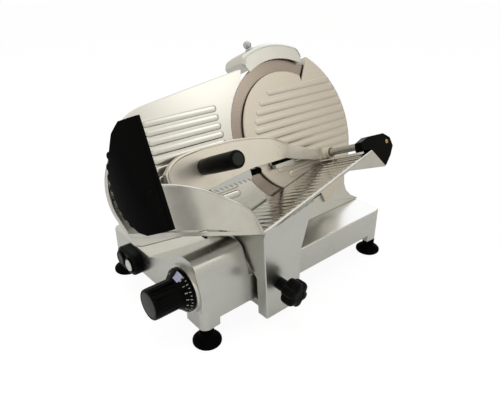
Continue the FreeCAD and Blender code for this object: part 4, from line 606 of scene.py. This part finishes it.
# the axis runs along -X; marks are the whole numbers, spread over the travel in degrees
dial = {"back": -206.6, "y": -90.6, "z": 83.8, "flange": 33.0, "rim": 3.0, "cone": 11.0,
        "grip": 22.5, "length": 40.0, "flutes": 16, "fluteDepth": 1.3, "shoulder": 1.2, "disc": 4.4,
        "marks": 16, "firstMark": 24.0, "travel": 300.0, "tickRise": 0.3, "tickLong": 4.2,
        "tickShort": 2.6, "tickSlope": 0.6, "tickHalfAngle": 0.011, "digit": 5.2, "digitUp": 0.52,
        "patchFrom": -4.0, "patchSpan": 26.0, "patchRise": 1.0, "patchHeight": 8.6}


def dialPlace():
    return leftPlace(dial["back"], dial["y"], dial["z"])


def coneRadius(height):
    # the cone falls from the flange to a shoulder on the grip, a little hollow on its way
    share = (height - dial["rim"]) / dial["cone"]
    shoulder = dial["grip"] + dial["shoulder"]
    return shoulder + (dial["flange"] - dial["grip"] - dial["shoulder"]) * max(0, 1 - share) ** 1.25


def addDial():
    root = dial["rim"] + dial["cone"]
    end = root + dial["length"]
    heights = [dial["rim"] + dial["cone"] * step / 8 for step in range(9)]
    cone = [(coneRadius(height), height) for height in heights]
    profile = [(0, 0), (dial["flange"], 0)] + cone + [
        (dial["grip"], root + 1.5), (dial["grip"], end - 5), (dial["grip"] - 0.4, end - 1.2),
        (dial["grip"] - 1.8, end - 0.1), (dial["grip"] - 3.4, end), (dial["grip"] - 4.2, end - 0.5),
        (0, end - 0.5)]

    def fluted(turn, height):
        # narrow grooves along the grip that run out before both of its ends
        fade = min(1, max(0, (height - root - 1) / 3)) * min(1, max(0, (end - 3 - height) / 3))
        wave = max(0.0, math.cos(turn * dial["flutes"])) ** 6
        return 1 - fade * dial["fluteDepth"] / dial["grip"] * wave

    body = turned("dialBody", dialPlace(), profile, 0.7, 384, fluted)
    dress(body, "gauge_dial", "gloss_black")
    disc = dial["grip"] - dial["disc"]
    cap = turned("dialEndDisc", dialPlace(), [
        (0, end - 0.2), (disc, end - 0.2), (disc, end - 1), (0, end - 1)], 0.3)
    dress(cap, "gauge_dial", "black_button", instead=False)
    addDialMarks()
    addDialPatch()


def conePoint(turn, height, proud=0.0):
    # a point on the cone, its angle counted from the top towards the front
    slope = math.atan2(coneRadius(height - 0.5) - coneRadius(height + 0.5), 1.0)
    out = coneRadius(height) + proud * math.cos(slope)
    return dialPlace() @ Vector((out * math.cos(turn), -out * math.sin(turn),
                                 height + proud * math.sin(slope))) * mm


def addDialMarks():
    # a tick for each half millimetre that the plate opens, and a number for each millimetre
    points, faces = [], []
    foot, half = dial["rim"] + dial["tickRise"], dial["tickHalfAngle"]
    boxFaces = ((4, 5, 7, 6), (0, 4, 6, 2), (1, 3, 7, 5), (0, 1, 5, 4), (2, 6, 7, 3), (0, 2, 3, 1))
    for step in range(2 * dial["marks"] - 1):
        turn = math.radians(dial["firstMark"] + dial["travel"] * step / (2 * dial["marks"] - 2))
        long = dial["tickLong"] if step % 2 == 0 else dial["tickShort"]
        first = len(points)
        for proud in (-0.2, 0.12):
            for height in (foot, foot + long * dial["tickSlope"]):
                for side in (-half, half):
                    points.append(conePoint(turn + side, height, proud))
        faces += [tuple(first + corner for corner in face) for face in boxFaces]
    ticks = addPiece("dialTicks", points, faces)
    dress(ticks, "gauge_dial", "white_plastic", instead=False)
    for number in range(dial["marks"]):
        turn = math.radians(dial["firstMark"] + dial["travel"] * number / (dial["marks"] - 1))
        addDigit(number, turn, dial["rim"] + dial["cone"] * dial["digitUp"])


def addDigit(number, turn, height):
    text = bpy.data.curves.new(f"digit{number}", "FONT")
    text.body = str(number)
    text.size = dial["digit"] * mm
    text.extrude = 0.1 * mm
    text.align_x, text.align_y = "CENTER", "CENTER"
    guide = bpy.data.objects.new("digitGuide", text)
    data = bpy.data.meshes.new_from_object(guide)
    bpy.data.objects.remove(guide)
    here, nearer = conePoint(turn, height), conePoint(turn, height + 1)
    across = (conePoint(turn - 0.02, height) - conePoint(turn + 0.02, height)).normalized()
    up = (here - nearer).normalized()
    out = across.cross(up).normalized()
    if out.dot(here - dialPlace() @ Vector((0, 0, height)) * mm) < 0:
        across, out = -across, -out
    place = Matrix((across, up, out)).transposed().to_4x4()
    place.translation = here + out * 0.05 * mm
    data.transform(place)
    piece = bpy.data.objects.new(f"dialDigit{number}", data)
    scene.collection.objects.link(piece)
    dress(piece, "gauge_dial", "white_plastic", instead=False)


def addDialPatch():
    # a plain pale plate on the cone's top
    points, faces = [], []
    columns, rows = 10, 5
    for proud in (-0.3, 0.25):
        for row in range(rows + 1):
            for column in range(columns + 1):
                turn = math.radians(dial["patchFrom"] + dial["patchSpan"] * column / columns)
                height = dial["rim"] + dial["patchRise"] + dial["patchHeight"] * row / rows
                points.append(conePoint(turn, height, proud))
    layer = (rows + 1) * (columns + 1)
    for row in range(rows):
        for column in range(columns):
            a = row * (columns + 1) + column
            faces.append((layer + a, layer + a + 1, layer + a + columns + 2, layer + a + columns + 1))
    patch = addPiece("dialPatch", points, faces)
    dress(patch, "gauge_dial", "pale_label", instead=False)


# knobs, handle and feet

starKnob = {"x": -81.0, "y": -159.3, "z": 72.0, "radius": 21.0, "neck": 18.0, "depth": 22.0,
            "lobes": 6, "scoop": 0.2}


def addStarKnob():
    k = starKnob
    end = k["neck"] + k["depth"]

    def lobed(turn, height):
        fade = min(1, max(0, (height - k["neck"] + 1) / 3))
        wave = (0.5 + 0.5 * math.cos(turn * k["lobes"])) ** 1.6
        return 1 - fade * k["scoop"] * wave

    profile = [(0, 0), (9.4, 0), (9.0, k["neck"] * 0.6), (10.5, k["neck"] - 2), (15, k["neck"]),
               (k["radius"] - 1, k["neck"] + 1), (k["radius"], k["neck"] + 5),
               (k["radius"], end - 6), (k["radius"] - 2, end - 2.2), (k["radius"] - 7, end - 0.4),
               (9, end), (8.4, end - 0.8), (0, end - 0.8)]
    knob = turned("starKnobBody", frontPlace(k["x"], k["y"], k["z"]), profile, 2.2, 180, lobed)
    dress(knob, "star_knob")


# the grip stands square on the pusher, from root to end above the blade's plane
handle = {"u": -205.0, "v": -14.5, "radius": 12.5, "root": 24.8, "flare": 25.0, "end": 111.0,
          "disc": 3.6}


def addHandle():
    h = handle
    place = bladeFrame @ Matrix.Translation(Vector((h["u"], h["v"], 0)))
    wide, end = h["radius"], h["end"]
    profile = [(0, h["root"]), (wide - 0.6, h["root"]), (wide, h["root"] + h["flare"]),
               (wide, end - 2.5), (wide - 2.2, end - 0.3), (wide - 3, end - 0.3),
               (wide - 3.4, end - 1.0), (0, end - 1.0)]
    dress(turned("handleBody", place, profile, 1.2, 96), "pusher_handle")
    disc = wide - h["disc"]
    cap = turned("handleEndDisc", place, [
        (0, end - 1.2), (disc, end - 1.2), (disc, end - 0.6), (0, end - 0.4)], 0.3, 72)
    dress(cap, "pusher_handle", "black_button", instead=False)


footSizes = {"radius": 21.5, "rim": 7.0, "dome": 17.0, "stem": 9.5, "height": 28.0, "ribs": 3,
             "ribPitch": 3.4}


def addFeet():
    f = footSizes
    profile = [(0, 0), (f["radius"] - 1.5, 0), (f["radius"], 1.8), (f["radius"], f["rim"] - 2),
               (f["radius"] - 1.2, f["rim"] - 0.4), (f["radius"] * 0.78, f["rim"] + 2.6),
               (f["radius"] * 0.58, f["rim"] + 5.4), (f["stem"] + 0.6, f["dome"] - 1),
               (f["stem"] - 0.6, f["dome"])]
    for rib in range(f["ribs"]):
        low = f["dome"] + rib * f["ribPitch"]
        profile += [(f["stem"] - 0.6, low + 0.8), (f["stem"] + 1.1, low + 1.2),
                    (f["stem"] + 1.1, low + 2.8), (f["stem"] - 0.6, low + 3.2)]
    profile += [(f["stem"] - 0.4, f["height"]), (0, f["height"])]
    for node in ("front_left_foot", "front_right_foot", "rear_left_foot", "rear_right_foot"):
        low, high = (Vector(corner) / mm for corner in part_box(node))
        place = Matrix.Translation(Vector(((low.x + high.x) / 2, (low.y + high.y) / 2, 0)))
        dress(turned(node + "Turned", place, profile, 0.6, 72), node)


# switch

def addSwitch():
    softened("switch_housing", 2.2, segments=4)
    for node, finish in (("start_button", "white_plastic"), ("stop_button", "black_button")):
        low, high = (Vector(corner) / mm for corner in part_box(node))
        place = leftPlace(high.x, (low.y + high.y) / 2, (low.z + high.z) / 2)
        deep, wide = high.x - low.x, (high.y - low.y) / 2
        button = turned(node + "Turned", place, [
            (0, 0), (wide, 0), (wide, deep - 1.4), (wide - 1.4, deep - 0.1), (wide - 3, deep),
            (wide - 3.6, deep - 0.5), (0, deep - 0.9)], 0.6, 72)
        dress(button, node, finish)
        collar = turned(node + "Collar", place, [
            (wide + 0.4, deep - 3), (wide + 3, deep - 3), (wide + 3, deep - 1.6),
            (wide + 1.6, deep - 0.6), (wide + 0.5, deep - 0.9), (wide + 0.4, deep - 3)], 0.5, 72)
        dress(collar, "switch_housing", "gloss_black", instead=False)


# tray and pusher

tray = {"valley": (-195.0, -117.0), "inner": 6.0, "outer": 110.0, "right": 59.4, "rise": 11.3,
        "ribPitch": 12.0, "ribCount": 20, "ribInner": 4.5, "ribOuter": 5.5, "ribHeight": 1.4,
        "wallU": -215.6, "wallW": -10.0, "wallRadius": 121.5, "run": 128.0, "height": 99.0,
        "bead": 2.3, "beadIn": 1.5, "beadFront": 0.6, "beadRound": 12.0}
trayRibProfile = ((4.2, -0.3), (3.8, 0.1), (3.2, 0.45), (2.4, 0.75), (1.4, 0.92), (0.2, 0.95))
# the rim of the tray's left wall, as shares of its run to the left and of its height
wallRim = ((0.02, -0.02), (0.10, 0.33), (0.21, 0.46), (0.37, 0.62), (0.53, 0.79), (0.75, 0.95),
           (0.87, 1.0))


def floorV(u):
    return tray["valley"][1] + (u - tray["valley"][0]) * math.tan(math.radians(tray["rise"]))


def addTray():
    t = tray

    def proudOfFloor(p):
        above = (p.y - floorV(p.x)) * math.cos(math.radians(t["rise"]))
        inside = p.x > t["valley"][0] + 2 and t["inner"] < p.z < t["outer"]
        return inside and 0.3 < above < t["ribHeight"]

    softened("food_tray", 0.8, "buffed_aluminium", without=proudOfFloor)
    runs = []
    for step in range(t["ribCount"]):
        u = t["valley"][0] + t["ribPitch"] * (step + 1)
        runs.append(((u, t["inner"] + t["ribInner"]), (u, t["outer"] - t["ribOuter"])))
    ridges("trayRibs", "food_tray", runs, trayRibProfile,
           lambda u, w, h: bladePoint(u, floorV(u) + h, w), finish="buffed_aluminium")
    bead("trayRim", "food_tray", trayRimPath(), t["bead"], "buffed_aluminium")


def trayRimPath():
    # down the left wall's rim to the valley, then along the floor's front edge
    t = tray
    corners = []
    for run, rise in reversed(wallRim):
        u, v = t["valley"][0] - t["run"] * run, t["valley"][1] + t["height"] * rise
        w = t["wallW"] + math.sqrt((t["wallRadius"] - t["beadIn"]) ** 2 - (u - t["wallU"]) ** 2)
        corners.append(bladePoint(u, v, w))
    for u in (t["valley"][0] + 3, t["right"] - t["beadIn"]):
        corners.append(bladePoint(u, floorV(u) - t["beadIn"], t["outer"] - t["beadFront"]))
    return rounded(corners, t["beadRound"] * mm, 5)


# line holds shares of the run from the left end to the ridge, and of the fall from the top
pusherRim = {"left": -266.0, "ridge": -71.0, "top": 12.0, "depth": 62.0, "front": 25.0,
             "slant": 7 / 45, "bead": 1.9, "sunk": 0.6, "round": 12.0,
             "bossFoot": 25.2, "bossRadius": 16.0,
             "line": ((0.27, 0.955), (0.06, 0.99), (0.01, 0.88), (0.01, 0.35), (0.06, 0.17),
                      (0.14, 0.06), (0.33, 0.0), (0.64, 0.02), (0.82, 0.09), (1.0, 0.21),
                      (1.2, 0.5))}


def addPusher():
    k = pusherRim

    def boss(p):
        # the handle's round seat on the front of the plate
        beside = math.hypot(p.x - handle["u"], p.y - handle["v"])
        return p.z > k["bossFoot"] and beside < k["bossRadius"]

    softened("pusher_plate", 1.6, "satin_aluminium", without=boss, segments=3)
    line = []
    for run, fall in k["line"]:
        u = k["left"] + (k["ridge"] - k["left"]) * run
        w = k["front"] - max(0.0, u - k["ridge"]) * k["slant"]
        line.append(Vector((u, k["top"] - k["depth"] * fall, w - k["sunk"])))
    path = [bladePoint(*spot) for spot in rounded(line, k["round"], 5)]
    bead("pusherRim", "pusher_plate", path, k["bead"], "satin_aluminium")


# end screw, castings and what is left

endScrew = {"front": 106.6, "length": 6.0, "radius": 3.5, "proud": 1.2, "edge": 0.6,
            "slotLong": 3.0, "slotHalf": 0.5, "slotHeights": (0.2, 1.3)}


def addEndScrew():
    # brass slotted screw in the end block
    e = endScrew
    low, high = (Vector(corner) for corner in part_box("end_screw"))
    centre = toBlade @ ((low + high) / 2 / mm)
    front, wide = e["front"], e["radius"]
    place = bladeFrame @ Matrix.Translation(Vector((centre.x, centre.y, 0)))
    head = turned("endScrewHead", place, [
        (0, front - e["length"]), (wide, front - e["length"]), (wide, front + e["edge"]),
        (wide - 0.7, front + e["proud"]), (0, front + e["proud"])], 0.4, 48)
    dress(head, "end_screw", "brass")
    # the slot is not cut into the head: a thin dark blackened-steel block on the head's top stands in
    # for the groove, as painted shade
    a, b = e["slotLong"], e["slotHalf"]
    corners = [bladePoint(centre.x + u, centre.y + v, front + height)
               for height in e["slotHeights"] for u, v in ((-a, -b), (a, -b), (a, b), (-a, b))]
    slotShade = addPiece("endScrewSlotShade", corners, [
        (0, 3, 2, 1), (4, 5, 6, 7), (0, 1, 5, 4), (1, 2, 6, 5), (2, 3, 7, 6), (3, 0, 4, 7)])
    dress(slotShade, "end_screw", "dark_steel", instead=False)


# how far the edges over longEdgeFrom are rounded on each casting or moulding
castings = {"base_housing": 1.4, "carriage_arm": 3.0, "blade_housing": 1.5, "drive_housing": 1.5,
            "rod_end_block": 1.6, "hand_guard": 1.6, "sharpener_bracket": 1.2, "motor": 1.5}
longEdgeFrom = 12.0

# nodes whose look isn't the one their slot names
finishes = {"hand_guard": "gloss_black", "guard_rivets": "gloss_black", "rod_end_block": "gloss_black"}


def longEdge(a, b):
    return (a - b).length > longEdgeFrom


def addTheRest():
    # every node that still shows, as its own solid with rounded edges
    for node in sorted(frame["nodes"]):
        if not frame["nodes"][node].hide_render:
            strong = (castings[node], longEdge) if node in castings else None
            softened(node, 0.4, finishes.get(node), strong=strong)


def addPieces():
    addBlade()
    addCover()
    addGaugePlate()
    addHood()
    addLockKnob()
    addDial()
    addStarKnob()
    addHandle()
    addFeet()
    addSwitch()
    addTray()
    addPusher()
    addEndScrew()
    addTheRest()


# room and light

# fill lights the matt faces; metal sees the level, with soft panels and darker gaps added to it
studio = {
    "fill": 0.5,
    "level": (0.92, 0.89, 0.81),
    "panels": (
        # azimuth, elevation, inner and outer half-angle in degrees, added colour
        ("front panel", -49.5, 29.5, 1, 9, (1.75, 1.73, 1.68)),
        ("low front gap", -42, 1, 4, 12, (-0.34, -0.34, -0.32)),
        ("right gap", -13, 12, 6, 24, (-0.60, -0.60, -0.56)),
        ("left gap", -139, 10, 8, 24, (-0.48, -0.46, -0.42)),
        ("overhead", 40, 78, 14, 46, (0.50, 0.52, 0.56)),
        ("back panel", 29, 29, 8, 24, (0.90, 0.96, 1.16)),
    ),
}


def direction(azimuth, elevation):
    across, up = math.radians(azimuth), math.radians(elevation)
    return Vector((math.cos(across) * math.cos(up), math.sin(across) * math.cos(up), math.sin(up)))


def studioColour(tree):
    ray = addNode(tree, "ShaderNodeTexCoord").outputs["Generated"]
    total = addNode(tree, "ShaderNodeCombineXYZ", None, dict(zip("XYZ", studio["level"]))).outputs[0]
    for name, azimuth, elevation, inner, outer, colour in studio["panels"]:
        near = addNode(tree, "ShaderNodeVectorMath", {"operation": "DOT_PRODUCT", "label": name},
                       {0: ray, 1: direction(azimuth, elevation)}).outputs["Value"]
        share = addNode(tree, "ShaderNodeMapRange", {"interpolation_type": "SMOOTHSTEP"}, {
            "Value": near, "From Min": math.cos(math.radians(outer)),
            "From Max": math.cos(math.radians(inner))}).outputs["Result"]
        added = addNode(tree, "ShaderNodeVectorMath", {"operation": "SCALE"},
                        {0: colour, "Scale": share}).outputs["Vector"]
        total = addNode(tree, "ShaderNodeVectorMath", {"operation": "ADD"},
                        {0: total, 1: added}).outputs["Vector"]
    return total


# the floor's own colour, its white, and how much of that the camera and the metal see
floorLook = {"size": 6.0, "colour": "#EFEFEC", "white": 1.08, "seen": 0.86, "mirrored": 0.2}


def addFloor():
    grid = bmesh.new()
    bmesh.ops.create_grid(grid, x_segments=2, y_segments=2, size=floorLook["size"])
    data = bpy.data.meshes.new("floor")
    grid.to_mesh(data)
    grid.free()
    floor = bpy.data.objects.new("floor", data)
    scene.collection.objects.link(floor)
    material = bpy.data.materials.new("paleFloor")
    material.use_nodes = True
    tree = material.node_tree
    tree.nodes.clear()
    path = addNode(tree, "ShaderNodeLightPath")
    matt = addNode(tree, "ShaderNodeBsdfDiffuse", None, {
        "Color": toLinear(floorLook["colour"])})
    glow = addNode(tree, "ShaderNodeEmission", None, {
        "Color": (1, 1, 1, 1), "Strength": floorLook["white"]})
    direct = addNode(tree, "ShaderNodeMath", {"operation": "MULTIPLY"}, {
        0: path.outputs["Is Camera Ray"], 1: floorLook["seen"]})
    mirrored = addNode(tree, "ShaderNodeMath", {"operation": "MULTIPLY_ADD"}, {
        0: path.outputs["Is Glossy Ray"], 1: floorLook["mirrored"], 2: direct.outputs["Value"]})
    mix = addNode(tree, "ShaderNodeMixShader", None, {
        0: mirrored.outputs["Value"], 1: matt.outputs["BSDF"], 2: glow.outputs["Emission"]})
    addNode(tree, "ShaderNodeOutputMaterial", None, {"Surface": mix.outputs["Shader"]})
    data.materials.append(material)


def addWorld():
    world = bpy.data.worlds.new("studio")
    scene.world = world
    world.use_nodes = True
    tree = world.node_tree
    tree.nodes.clear()
    path = addNode(tree, "ShaderNodeLightPath")
    fill = addNode(tree, "ShaderNodeBackground", None, {
        "Color": (1, 1, 1, 1), "Strength": studio["fill"]})
    room = addNode(tree, "ShaderNodeBackground", None, {"Color": studioColour(tree)})
    white = addNode(tree, "ShaderNodeBackground", None, {"Color": (1, 1, 1, 1)})
    seen = addNode(tree, "ShaderNodeMath", {"operation": "ADD", "use_clamp": True}, {
        0: path.outputs["Is Glossy Ray"], 1: path.outputs["Is Transmission Ray"]})
    mirrored = addNode(tree, "ShaderNodeMixShader", None, {
        0: seen.outputs["Value"], 1: fill.outputs["Background"], 2: room.outputs["Background"]})
    final = addNode(tree, "ShaderNodeMixShader", None, {
        0: path.outputs["Is Camera Ray"], 1: mirrored.outputs["Shader"],
        2: white.outputs["Background"]})
    addNode(tree, "ShaderNodeOutputWorld", None, {"Surface": final.outputs["Shader"]})


lamps = (
    # name, place, aim, width, height, watts
    ("topLight", (-0.3, -0.1, 1.7), (0.1, 0.0, 0.2), 1.3, 0.9, 8),
    ("leftLight", (-1.7, 0.3, 1.0), (0.0, 0.0, 0.15), 1.0, 1.2, 5),
    ("rightLight", (0.95, -1.25, 0.95), (0.0, 0.0, 0.25), 0.8, 0.8, 2.2),
)


def addLamps():
    for name, place, aim, wide, tall, power in lamps:
        data = bpy.data.lights.new(name, "AREA")
        data.shape = "RECTANGLE"
        data.size, data.size_y = wide, tall
        data.energy = power
        lamp = bpy.data.objects.new(name, data)
        lamp.visible_glossy = False   # metal mirrors the studio's own panels instead
        lamp.location = place
        lamp.rotation_mode = "QUATERNION"
        lamp.rotation_quaternion = (Vector(aim) - Vector(place)).to_track_quat("-Z", "Y")
        scene.collection.objects.link(lamp)


def addRoom():
    addFloor()
    addWorld()
    addLamps()
    scene.view_settings.view_transform = "Standard"
    print("room and lights placed")


addCamera()
addRoom()
materials = makeMaterials()
addPieces()
